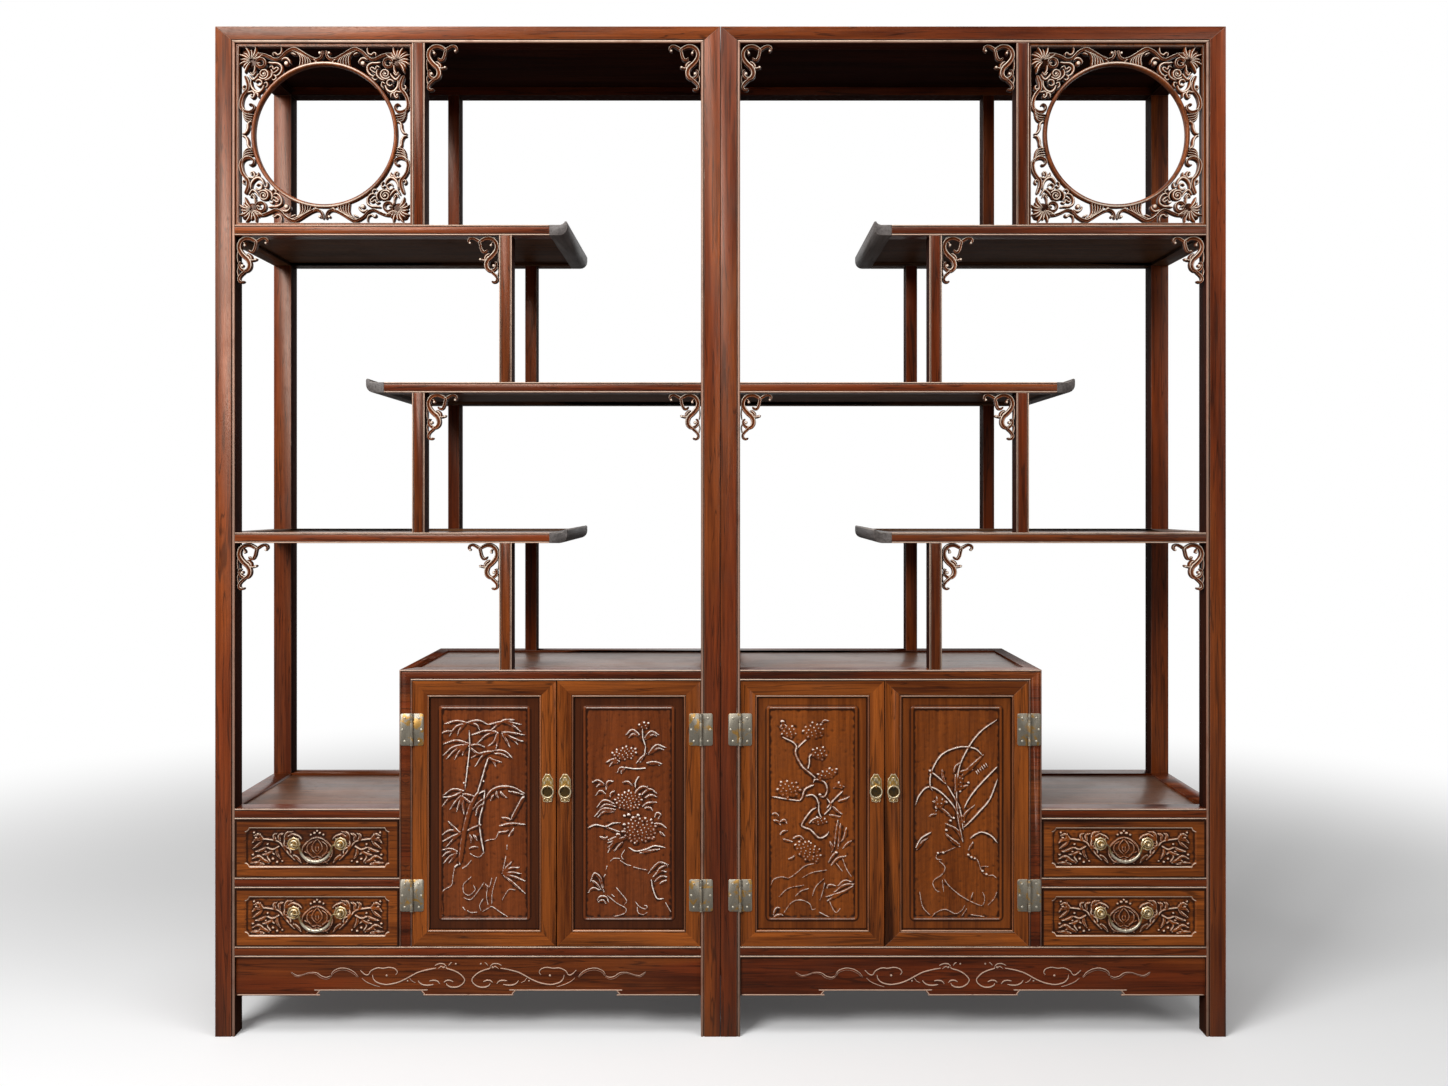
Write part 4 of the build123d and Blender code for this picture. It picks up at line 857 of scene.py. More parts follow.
class Relief:
    # A carved face seen from the front, as a height in millimetres over a grid; u goes right and v down
    def __init__(self, width, height, step):
        self.u = np.linspace(0, width, int(round(width / step)) + 1)
        self.v = np.linspace(0, height, int(round(height / step)) + 1)
        self.rise = np.zeros((len(self.v), len(self.u)))
        self.step = step

    def window(self, low, high):
        # The rows and columns between two corners, with their places
        columns = slice(*np.clip(np.searchsorted(self.u, (low[0], high[0])), 0, len(self.u)))
        rows = slice(*np.clip(np.searchsorted(self.v, (low[1], high[1])), 0, len(self.v)))
        return rows, columns, self.u[columns][None, :], self.v[rows][:, None]

    def cut(self, spots, width, rise, kind):
        # A stroke: the nearest place on its path gives q, the distance as a share of the half width;
        # a stem is round, a leaf swells and has a vein, a line is a narrow crest with a soft skirt
        spots = np.asarray(spots, dtype=float)
        length = np.linalg.norm(np.diff(spots, axis=0), axis=1).sum()
        path = smoothPath(spots, max(int(length / 0.9) + 2, 5))
        share = np.linspace(0, 1, len(path))
        if kind == "leaf":
            half = width / 2 * (0.3 + 0.8 * np.sin(np.pi * share**0.8))
        else:
            half = width / 2 * np.sqrt(np.clip(1 - (2 * share - 1)**8, 0.15, 1))
        reach = half.max()
        rows, columns, u, v = self.window(path.min(axis=0) - reach, path.max(axis=0) + reach)
        if u.size == 0 or v.size == 0:
            return
        du = u[..., None] - path[:, 0]
        dv = v[..., None] - path[:, 1]
        away = du**2 + dv**2
        nearest = away.argmin(axis=-1)
        q = np.sqrt(np.take_along_axis(away, nearest[..., None], -1)[..., 0]) / half[nearest]
        dome = np.sqrt(np.clip(1 - q**2, 0, 1))
        if kind == "leaf":
            dome *= 1 - 0.55 * np.exp(-(q / 0.25)**2) * (reach > 2.0)
        if kind == "line":
            dome = np.clip(1 - q, 0, 1)**0.8
        np.maximum(self.rise[rows, columns], dome * rise, out=self.rise[rows, columns])

    def dome(self, u0, v0, radiusU, radiusV, rise, turn=0.0):
        # An ellipse that rises by the root of one less the squares of its two shares
        reach = max(radiusU, radiusV)
        rows, columns, u, v = self.window((u0 - reach, v0 - reach), (u0 + reach, v0 + reach))
        if u.size == 0 or v.size == 0:
            return
        c, s = math.cos(turn), math.sin(turn)
        along = ((u - u0) * c + (v - v0) * s) / radiusU
        across = ((v - v0) * c - (u - u0) * s) / radiusV
        shape = np.sqrt(np.clip(1 - along**2 - across**2, 0, 1)) * rise
        np.maximum(self.rise[rows, columns], shape, out=self.rise[rows, columns])

    def head(self, u0, v0, radiusU, radiusV, turn, size, rise):
        # A flower head: beads on a spiral of even area inside a leaning ellipse, over a low dome
        t = math.radians(turn)
        size = size * 1.3
        count = int(radiusU * radiusV / (size * size * 1.25))
        self.dome(u0, v0, radiusU, radiusV, rise * 0.55, t)
        for k in range(count):
            share = math.sqrt((k + 0.5) / count)
            angle = k * 2.399963
            a, b = radiusU * share * math.cos(angle), radiusV * share * math.sin(angle)
            place = (u0 + a * math.cos(t) - b * math.sin(t), v0 + a * math.sin(t) + b * math.cos(t))
            grow = size * (0.72 + 0.3 * share)
            self.dome(*place, grow, grow * 0.8, rise * (1.08 - 0.3 * share), angle)

    def soften(self, field, radius):
        # Mean over a square window, twice each way
        reach = max(int(round(radius / self.step)), 1)
        for axis in (0, 1, 0, 1):
            pad = [(reach + 1, reach) if k == axis else (0, 0) for k in (0, 1)]
            total = np.cumsum(np.pad(field, pad, mode="edge"), axis=axis)
            low = np.take(total, np.arange(field.shape[axis]), axis=axis)
            high = np.take(total, np.arange(field.shape[axis]) + 2 * reach + 1, axis=axis)
            field = (high - low) / (2 * reach + 1)
        return field

    def shade(self, scale=0.55, crest=0.22):
        # Hollow to crest, -1 to 1: the fall below the wide mean height, as painted shade, the sharp rise
        # above the close one, and the slope, whose upper and left flanks get a painted highlight and lower
        # ones painted shade
        wide = (self.rise - self.soften(self.rise, 3.0)) / scale
        sharp = np.maximum(self.rise - self.soften(self.rise, 1.2), 0) / crest
        fall, across = np.gradient(self.rise, self.step)
        slope = np.clip(self.soften(fall + 0.3 * across, 0.6), -1, 1)
        bright = sharp * 0.35 * (wide > 0) + 1.15 * np.maximum(slope, 0)
        return np.clip(np.minimum(wide, 0) + bright - np.maximum(-slope, 0), -1, 1)


def boundsOf(node):
    # Lowest and highest corner of a CAD node, in millimetres
    points = fieldOf(frame["nodes"][node].data.vertices, "co", width=3) * perMetre
    return points.min(axis=0), points.max(axis=0)


bambooCarving = {
    "stem": [
        (3.2, [[(55, 43), (56, 73), (52, 112), (47, 155)]]),
        (4.5, [[(91, 96), (79, 137), (71, 163)]]),
        (9.0, [[(71, 161), (56, 194), (45, 239), (37, 298)]]),
        (4.2, [[(85, 156), (82, 185), (75, 214), (77, 242), (83, 276)]]),
        (8.0, [[(159, 169), (149, 188), (136, 212)]]),
        (4.0, [[(34, 298), (27, 304)]]),
        (3.5, [[(66, 171), (75, 163), (85, 158)]]),
    ],
    "leaf": [
        (4.6, [[(51, 28), (30, 26), (8, 31)], [(50, 29), (30, 37), (17, 54)], [(50, 29), (38, 41), (32, 53)],
         [(51, 28), (69, 33), (75, 43)], [(51, 28), (72, 25), (91, 32)], [(141, 23), (120, 25), (96, 43)],
         [(91, 32), (123, 27), (154, 32)], [(120, 27), (136, 33), (154, 46)], [(107, 45), (85, 45), (59, 52)],
         [(107, 46), (88, 53), (71, 67)], [(3, 48), (11, 46), (24, 44)], [(109, 46), (103, 64), (91, 73)],
         [(110, 47), (109, 64), (106, 78)], [(117, 46), (140, 49), (161, 52)],
         [(117, 48), (133, 56), (148, 70)], [(117, 48), (125, 61), (133, 76)],
         [(117, 49), (146, 61), (159, 64)], [(55, 68), (30, 63), (6, 69)], [(53, 69), (24, 76), (5, 91)],
         [(52, 69), (30, 80), (11, 98)], [(52, 70), (37, 83), (27, 99)], [(53, 70), (45, 80), (42, 91)],
         [(56, 72), (72, 71), (85, 75)], [(56, 75), (69, 86), (82, 88)], [(101, 82), (75, 88), (58, 96)],
         [(99, 84), (82, 91), (66, 112)], [(103, 81), (123, 84), (138, 96)],
         [(103, 87), (117, 89), (130, 95)], [(93, 94), (101, 102), (106, 113)],
         [(91, 96), (98, 99), (117, 104)], [(45, 158), (24, 156), (5, 167)], [(43, 159), (24, 169), (4, 170)],
         [(40, 163), (18, 172), (3, 188)], [(40, 166), (27, 182), (18, 194)],
         [(42, 167), (35, 185), (31, 198)], [(43, 167), (43, 185), (45, 204)],
         [(42, 164), (53, 166), (64, 168)], [(42, 169), (53, 178), (61, 182)],
         [(85, 172), (72, 182), (61, 194)], [(82, 182), (72, 191), (67, 206)],
         [(107, 159), (107, 166), (111, 172)], [(114, 159), (119, 166), (127, 172)],
         [(101, 166), (98, 172), (96, 177)], [(130, 159), (146, 163), (159, 165)],
         [(117, 209), (127, 211), (137, 214)], [(112, 225), (136, 221), (162, 222)],
         [(111, 237), (122, 237), (130, 233)], [(130, 245), (136, 237), (140, 229)],
         [(40, 237), (18, 234), (2, 243)], [(39, 238), (24, 245), (3, 255)],
         [(38, 239), (24, 226), (15, 216)], [(40, 239), (27, 249), (11, 265)],
         [(33, 273), (18, 269), (2, 271)], [(33, 274), (14, 276), (2, 285)], [(32, 276), (18, 284), (6, 296)],
         [(32, 277), (24, 287), (16, 296)], [(51, 234), (63, 229), (75, 223)],
         [(56, 242), (59, 249), (58, 257)], [(63, 242), (67, 247), (70, 253)],
         [(55, 268), (63, 266), (72, 265)], [(117, 316), (127, 303), (136, 293)],
         [(117, 316), (133, 306), (151, 304)], [(117, 316), (136, 314), (154, 316)],
         [(119, 317), (140, 322), (162, 330)], [(119, 318), (140, 335), (162, 354)]]),
        (6.0, [[(85, 174), (98, 158), (117, 151), (140, 153), (160, 163)]]),
    ],
    "line": [
        (3.0, [[(83, 255), (95, 251), (104, 250), (109, 242), (111, 236)],
         [(56, 277), (66, 283), (75, 284), (83, 275)],
         [(27, 304), (24, 322), (21, 338), (5, 349), (2, 367), (4, 382), (3, 398)],
         [(59, 290), (51, 300), (42, 306)], [(98, 324), (93, 341), (85, 335)],
         [(90, 338), (88, 360), (91, 376)], [(107, 322), (99, 351), (98, 373)],
         [(83, 333), (72, 349), (58, 365), (45, 362)],
         [(43, 339), (45, 352), (55, 357), (66, 347), (63, 338)], [(59, 322), (45, 335), (43, 344)],
         [(42, 379), (48, 386)], [(51, 386), (59, 390), (71, 389)],
         [(79, 389), (91, 382), (99, 379), (114, 389), (130, 399)], [(117, 367), (130, 347), (143, 347)],
         [(82, 363), (75, 376), (77, 386)], [(127, 261), (127, 271)], [(125, 282), (120, 306), (117, 316)]]),
    ],
    "head": [],
    "bead": [(55, 73, 2.4), (52, 112, 2.4), (82, 140, 2.6), (81, 185, 2.6), (76, 223, 2.6), (45, 143, 2.4)],
}
chrysanthemumCarving = {
    "stem": [
        (3.0, [[(110, 39), (111, 57), (116, 73)], [(116, 73), (114, 89), (105, 105)],
         [(103, 131), (97, 142), (97, 153)], [(73, 113), (92, 116), (105, 116), (117, 115)],
         [(6, 229), (21, 223), (40, 226), (54, 220), (68, 219)],
         [(84, 266), (98, 273), (118, 269), (133, 263), (153, 266)],
         [(127, 327), (130, 344), (138, 363), (151, 363)]]),
    ],
    "leaf": [
        (5.0, [[(105, 52), (91, 43), (78, 52)], [(102, 54), (92, 51), (84, 57)],
         [(113, 59), (127, 46), (142, 52)], [(114, 61), (130, 52), (138, 54)],
         [(121, 88), (137, 72), (155, 76)], [(122, 89), (140, 78), (151, 80)],
         [(118, 87), (108, 96), (98, 106)], [(118, 105), (133, 104), (148, 107)],
         [(124, 108), (137, 106), (143, 110)], [(67, 102), (54, 99), (41, 104)],
         [(64, 105), (54, 105), (47, 112)], [(75, 113), (67, 116), (62, 124)],
         [(76, 116), (71, 121), (70, 126)], [(37, 145), (25, 139), (14, 142)],
         [(37, 147), (29, 147), (22, 151)], [(55, 140), (44, 142), (41, 156)],
         [(40, 164), (30, 159), (21, 167)], [(57, 159), (51, 163), (48, 172)],
         [(57, 183), (37, 177), (23, 190)], [(59, 188), (40, 185), (29, 191)],
         [(59, 194), (35, 193), (19, 207)], [(57, 198), (37, 199), (24, 209)],
         [(92, 172), (102, 156), (120, 150)], [(102, 153), (114, 151), (124, 156)],
         [(73, 142), (83, 142), (91, 148)], [(108, 166), (124, 156), (138, 163)],
         [(114, 172), (127, 167), (138, 170)], [(110, 188), (121, 182), (138, 180)],
         [(133, 209), (138, 201), (144, 204), (140, 212)], [(114, 191), (124, 191), (130, 196)],
         [(41, 228), (54, 233), (67, 236)], [(29, 245), (38, 249), (44, 245)],
         [(68, 244), (54, 249), (44, 252)], [(132, 220), (146, 223), (156, 229)],
         [(143, 236), (148, 241), (153, 244)], [(83, 245), (60, 252), (44, 257)],
         [(79, 249), (57, 257), (44, 266)], [(60, 255), (51, 265), (44, 276)],
         [(73, 255), (64, 265), (56, 273)], [(105, 276), (124, 273), (143, 269)],
         [(121, 316), (130, 306), (143, 295), (160, 299)], [(137, 312), (149, 303), (159, 301)],
         [(130, 322), (143, 312), (156, 312)], [(133, 331), (146, 322), (157, 322)],
         [(143, 335), (153, 330), (156, 328)], [(33, 335), (30, 324), (19, 316), (11, 331)],
         [(22, 319), (30, 328), (37, 351)], [(13, 328), (22, 335), (32, 346)],
         [(7, 352), (16, 344), (30, 347)], [(24, 367), (30, 360), (41, 361), (46, 370)],
         [(25, 370), (35, 367), (41, 373)]]),
    ],
    "line": [
        (3.0, [[(48, 293), (56, 287), (67, 287)], [(67, 290), (79, 298), (89, 301)],
         [(92, 303), (108, 307), (119, 309)], [(43, 301), (41, 308)], [(40, 317), (36, 323)],
         [(76, 271), (70, 282), (75, 290)], [(154, 371), (165, 390)],
         [(43, 357), (60, 371), (78, 382), (75, 392), (54, 398)],
         [(60, 342), (70, 354), (80, 367), (76, 375)], [(51, 355), (57, 360)],
         [(97, 370), (105, 379), (116, 383), (119, 378), (113, 376)],
         [(100, 379), (102, 390), (111, 394), (120, 389)]]),
    ],
    "head": [(76, 87, 24, 13, -8, 2.3), (84, 177, 26, 19, 0, 2.4), (105, 233, 33, 25, 0, 2.7),
             (113, 34, 10, 8, 0, 2.4)],
    "bead": [(76, 223, 4.0), (84, 204, 4.0), (93, 210, 4.4), (102, 205, 3.6), (64, 242, 5.0), (130, 250, 4.0),
             (121, 249, 4.0), (76, 236, 4.4), (97, 258, 4.2), (76, 206, 3.4), (132, 233, 3.4)],
}
plumCarving = {
    "stem": [
        (4.6, [[(55, 73), (53, 89), (65, 112), (81, 126), (91, 134)],
         [(87, 147), (71, 156), (65, 172), (60, 177)]]),
        (3.4, [[(56, 78), (49, 67), (28, 56)], [(57, 76), (66, 67), (73, 61)],
         [(76, 117), (79, 105), (79, 94), (84, 88)], [(78, 220), (87, 212), (97, 209)],
         [(112, 172), (120, 188), (107, 204)], [(97, 178), (97, 198), (102, 210)],
         [(142, 159), (126, 175), (112, 191)]]),
        (3.2, [[(60, 177), (42, 175), (8, 169)]]),
        (4.4, [[(86, 142), (91, 137), (107, 142), (113, 156), (108, 169), (99, 169)],
         [(92, 190), (81, 198), (65, 222), (71, 229), (81, 233), (97, 248), (110, 244), (116, 236)]]),
        (3.6, [[(72, 168), (84, 166), (92, 172), (97, 185)]]),
    ],
    "leaf": [
        (5.0, [[(125, 153), (134, 147), (146, 151)], [(133, 178), (146, 175), (155, 169)],
         [(123, 188), (133, 198), (141, 202)], [(117, 204), (130, 207), (139, 207)],
         [(133, 214), (130, 239), (126, 265)], [(138, 220), (136, 245), (133, 268)],
         [(149, 228), (146, 245), (139, 255)], [(159, 253), (149, 261), (142, 268)],
         [(118, 255), (123, 268), (121, 276)], [(130, 274), (120, 287), (115, 295)],
         [(120, 300), (133, 287), (149, 282)], [(8, 202), (15, 202), (21, 206)],
         [(11, 214), (19, 217), (24, 223)], [(23, 217), (31, 214), (36, 220)],
         [(23, 242), (29, 236), (37, 234)], [(29, 249), (36, 253), (47, 255)],
         [(47, 249), (60, 245), (68, 250)], [(164, 336), (146, 338), (126, 351)],
         [(162, 339), (142, 351), (110, 360)], [(133, 339), (146, 330), (159, 331)],
         [(112, 344), (117, 338), (130, 339)], [(138, 355), (123, 362), (112, 368)],
         [(10, 395), (16, 382), (23, 381)], [(11, 398), (23, 394), (29, 395)],
         [(102, 29), (108, 25), (116, 25)], [(23, 37), (29, 33), (36, 35)],
         [(39, 288), (45, 287), (50, 282)]]),
    ],
    "line": [
        (3.2, [[(5, 339), (11, 327), (26, 322), (40, 324), (55, 314), (71, 301), (91, 296)],
         [(65, 324), (84, 314), (112, 309)], [(21, 360), (39, 344), (68, 338)],
         [(52, 359), (63, 349), (78, 344)], [(108, 324), (91, 341), (84, 360)],
         [(108, 333), (104, 351), (99, 367)],
         [(29, 392), (45, 371), (62, 366), (79, 373), (84, 384), (92, 382)],
         [(117, 368), (123, 382), (130, 390), (138, 382)], [(142, 287), (149, 306), (159, 322)],
         [(130, 296), (142, 312)], [(97, 389), (117, 399)]]),
    ],
    "head": [(40, 46, 16, 12, 0, 2.6), (87, 44, 20, 16, 0, 2.8), (99, 87, 15, 13, 0, 2.6),
             (113, 126, 20, 10, -20, 2.6), (39, 155, 22, 17, 0, 2.8), (77, 273, 29, 17, 35, 2.6),
             (99, 215, 14, 8, 0, 2.2), (134, 148, 10, 6, 0, 2.4)],
    "bead": [(28, 27, 4.6), (99, 166, 3.6), (130, 276, 3.4), (81, 258, 3.2)],
}
orchidCarving = {
    "stem": [
        (3.6, [[(96, 255), (85, 191), (88, 121), (107, 76), (131, 45), (161, 23)],
         [(93, 249), (88, 204), (60, 166), (32, 151), (14, 166), (6, 185)],
         [(39, 159), (34, 147), (37, 121), (57, 89), (91, 75), (119, 78), (134, 91)],
         [(96, 229), (107, 220), (125, 201), (147, 175), (162, 137)],
         [(99, 191), (107, 175), (125, 151), (162, 112)], [(6, 268), (17, 249), (36, 237)],
         [(110, 249), (121, 241), (133, 237), (150, 244), (162, 257)], [(32, 120), (45, 129), (64, 145)],
         [(66, 147), (73, 159), (90, 191), (97, 233)]]),
    ],
    "leaf": [
        (8.0, [[(93, 132), (113, 112), (135, 90)]]),
        (5.0, [[(8, 271), (20, 255), (29, 249)], [(73, 252), (82, 258), (91, 265)],
         [(107, 271), (113, 261), (116, 255)], [(57, 118), (59, 134), (64, 143)],
         [(79, 124), (83, 112), (90, 105)], [(85, 126), (97, 121), (116, 118)],
         [(82, 127), (83, 147), (81, 164)], [(91, 156), (100, 150), (107, 147)],
         [(39, 178), (43, 179), (49, 182)], [(46, 169), (49, 182), (45, 198)],
         [(49, 188), (63, 198), (76, 210)], [(32, 207), (39, 204), (46, 202)],
         [(99, 223), (100, 204), (119, 185)], [(97, 255), (85, 233), (63, 220)],
         [(63, 239), (73, 249), (90, 260)]]),
        (2.6, [[(121, 120), (123, 124), (125, 127)], [(124, 117), (126, 121), (128, 124)],
         [(128, 114), (130, 118), (132, 121)], [(132, 111), (134, 115), (136, 118)],
         [(135, 108), (138, 112), (139, 115)], [(139, 105), (141, 108), (143, 112)]]),
    ],
    "line": [
        (3.2, [[(82, 266), (63, 274), (49, 277), (46, 287), (57, 290)],
         [(49, 290), (62, 303), (57, 317), (43, 327), (39, 335), (45, 347), (53, 351)],
         [(102, 282), (116, 284), (124, 290), (131, 309)], [(131, 303), (138, 302), (145, 303)],
         [(131, 309), (141, 319), (153, 319), (161, 325)],
         [(60, 325), (70, 339), (91, 357), (116, 371), (133, 376), (138, 363), (134, 351)],
         [(57, 328), (60, 351)], [(116, 351), (110, 367)],
         [(6, 399), (34, 399), (45, 390), (63, 384), (82, 392), (94, 386), (100, 376)],
         [(111, 394), (138, 398)], [(94, 397), (104, 382)], [(14, 351), (20, 379), (34, 395)],
         [(144, 376), (156, 363), (161, 351)]]),
    ],
    "head": [(90, 142, 7, 15, 0, 2.4), (53, 181, 9, 12, 30, 2.6)],
    "bead": [(107, 143, 3.0), (91, 159, 3.0), (90, 191, 3.0), (96, 207, 3.0), (98, 217, 3.0), (65, 180, 3.0),
             (46, 191, 3.0), (73, 215, 3.0), (79, 210, 3.0), (65, 233, 3.0), (34, 120, 3.0), (107, 280, 3.0),
             (113, 285, 3.0), (119, 287, 3.0), (134, 311, 3.0), (141, 317, 3.0), (49, 277, 3.0),
             (59, 276, 3.0)],
}
door = {"step": 1.1, "margin": 18.0, "ridge": 6.0, "ridgeRise": 2.0, "corner": 7.0, "rim": 2.5, "marks": 1.2,
        "stem": 2.0, "leaf": 1.7, "line": 1.5, "headRise": 2.2, "beadSquash": 0.8, "beadTurn": 0.4,
        "thinRise": 0.55, "fullSize": 8, "lineDim": 0.35, "lineShare": 0.34,
        "edgeTone": {"left": -0.7, "right": -0.38}}
doorCarving = {"left_outer": bambooCarving, "left_inner": chrysanthemumCarving,
               "right_inner": plumCarving, "right_outer": orchidCarving}


def roundedDistance(u, v, box, corner):
    # Distance inward from a rectangle with rounded corners, negative outside
    halfU, halfV = (box[1] - box[0]) / 2, (box[3] - box[2]) / 2
    a = np.abs(u - box[0] - halfU) - halfU + corner
    b = np.abs(v - box[2] - halfV) - halfV + corner
    outside = np.sqrt(np.maximum(a, 0)**2 + np.maximum(b, 0)**2)
    return corner - outside - np.minimum(np.maximum(a, b), 0)


def toolMarks(field, strength):
    # Slow uneven ground left by the chisel
    return (field.soften(rng.normal(size=field.rise.shape), 2.4)) * strength


def doorPanelMesh(name, node, carving, side):
    # A raised panel: strokes, flower heads and beads as heights, with a half-round ridge inside the
    # margin; the ridge keeps a thin painted highlight on its crest, strongest on its level runs, the margin
    # is darker by a tone set for each side, and its outermost rim is painted dark as shade in the gap
    low, high = boundsOf(node)
    width, height = high[0] - low[0], high[2] - low[2]
    field = Relief(width, height, door["step"])
    shift = door["margin"] + door["ridge"] / 2
    for kind in ("line", "stem", "leaf"):
        for size, strokes in carving[kind]:
            for spots in strokes:
                rise = door[kind] * min(1.0, door["thinRise"] + size / door["fullSize"])
                field.cut(np.array(spots) + shift, size, rise, kind)
    for u, v, radiusU, radiusV, turn, size in carving["head"]:
        field.head(u + shift, v + shift, radiusU, radiusV, turn, size, door["headRise"])
    for u, v, size in carving["bead"]:
        field.dome(u + shift, v + shift, size, size * door["beadSquash"], door["headRise"], door["beadTurn"])
    u, v = np.meshgrid(field.u, field.v)
    inward = roundedDistance(u, v, (0, width, 0, height), 0.0) - door["margin"]
    ridge = roundedDistance(u, v, (door["margin"], width - door["margin"], door["margin"],
                                   height - door["margin"]), door["corner"])
    q = (ridge - door["ridge"] / 2) / (door["ridge"] / 2)
    field.rise = np.maximum(field.rise, door["ridgeRise"] * np.sqrt(np.clip(1 - q**2, 0, 1)))
    field.rise += toolMarks(field, door["marks"]) * (inward > door["ridge"])
    relief = field.shade()
    # Painted highlight and shade: a thin bright line on the ridge's crest, brighter where it runs level,
    # darker off the crest; then the margin's tone and the dark rim
    fall, across = np.abs(np.gradient(ridge))
    lit = door["lineDim"] + (1 - door["lineDim"]) * fall / (fall + across + 1e-6)
    thin = -0.5 + 1.5 * lit * np.exp(-(q / door["lineShare"])**2)
    relief = np.where(np.abs(q) < 1, thin, relief)
    relief = np.where(inward < 0, np.minimum(relief, door["edgeTone"][side]), relief)
    relief = np.where(inward < door["rim"] - door["margin"], -1.0, relief)
    heap = Heap()
    face = low[1] + door["ridgeRise"]
    heap.plate(low[0] + field.u, high[2] - field.v, face - field.rise, high[1], relief)
    return heap.mesh(name)


for key, carving in doorCarving.items():
    node = key + "_door_panel"
    side = key.split("_")[0]
    wood = woods["warmCarvedWood" if side == "right" else "carvedWood"]
    finishPiece(key + "DoorCarving", doorPanelMesh(node + "Mesh", node, carving, side), wood, node)
print("door panels carved")

# Drawer fronts: a sunk field with notched corners, a bead along its edge, a flower and leaf sprays
drawer = {"step": 1.2, "marginU": 17.0, "marginV": 16.0, "notch": 7.5, "depth": 2.5, "rise": 2.3, "lift": 3.0,
          "eyeOut": 44.5, "eyeUp": 6, "eyeRadius": 18, "rays": (13, 14.5, 16), "wall": 1.2, "field": 4.2,
          "beadAt": 1.6, "beadWidth": 0.9, "beadRise": 2.1, "marks": 0.9, "groundTone": 0.35, "rim": 3.3}
halfCarving = {
    "stem": [[(103, -16), (86, -14), (72, -10), (64, 0)], [(64, 0), (54, 12), (42, 24)],
             [(64, -2), (52, 4), (50, 12)], [(72, -2), (84, 4), (96, 0)],
             [(108, -26), (109, -17), (103, -14)], [(88, 28), (94, 18), (88, 10), (80, 14)]],
    "leaf": [[(58, -14), (48, -24), (36, -22)], [(62, -10), (58, -26), (46, -30)],
             [(70, -12), (72, -22), (64, -26)], [(78, -12), (82, -22), (76, -27)],
             [(46, 14), (36, 22), (30, 30)], [(102, -16), (112, -24), (120, -22)],
             [(104, -14), (116, -14), (124, -8)], [(104, -12), (112, -4), (122, 2)],
             [(96, 0), (106, 6), (118, 8)], [(76, 2), (76, 12), (70, 22)], [(84, 6), (92, 12), (104, 14)],
             [(90, 30), (104, 24), (112, 27)], [(96, 30), (110, 18), (124, 22)],
             [(100, 32), (116, 30), (127, 30)]],
    "line": [[(8, 30), (20, 26), (28, 14), (27, 0), (18, -12)], [(0, -19), (12, -15), (22, -5), (28, 4)],
             [(0, -16), (8, -6), (9, 4), (0, 14)], [(8, -12), (18, -4), (18, 8), (9, 16)],
             [(0, 17), (8, 19), (16, 12), (25, 8)], [(0, 27), (8, 25), (16, 20), (24, 18)],
             [(0, 22), (6, 24), (12, 30)], [(2, -2), (3, 4), (0, 9)], [(12, 24), (16, 28), (20, 31)]],
    "bead": [(5, -27, 3.2), (12, -24, 2.6), (0, -31, 2.6), (116, -18, 3.0), (112, 18, 2.6), (104, 22, 2.6),
             (98, 8, 2.4), (84, 22, 2.8), (76, 28, 2.8), (120, -28, 2.6), (94, -6, 2.4), (122, 14, 2.6),
             (66, 26, 2.4)],
}


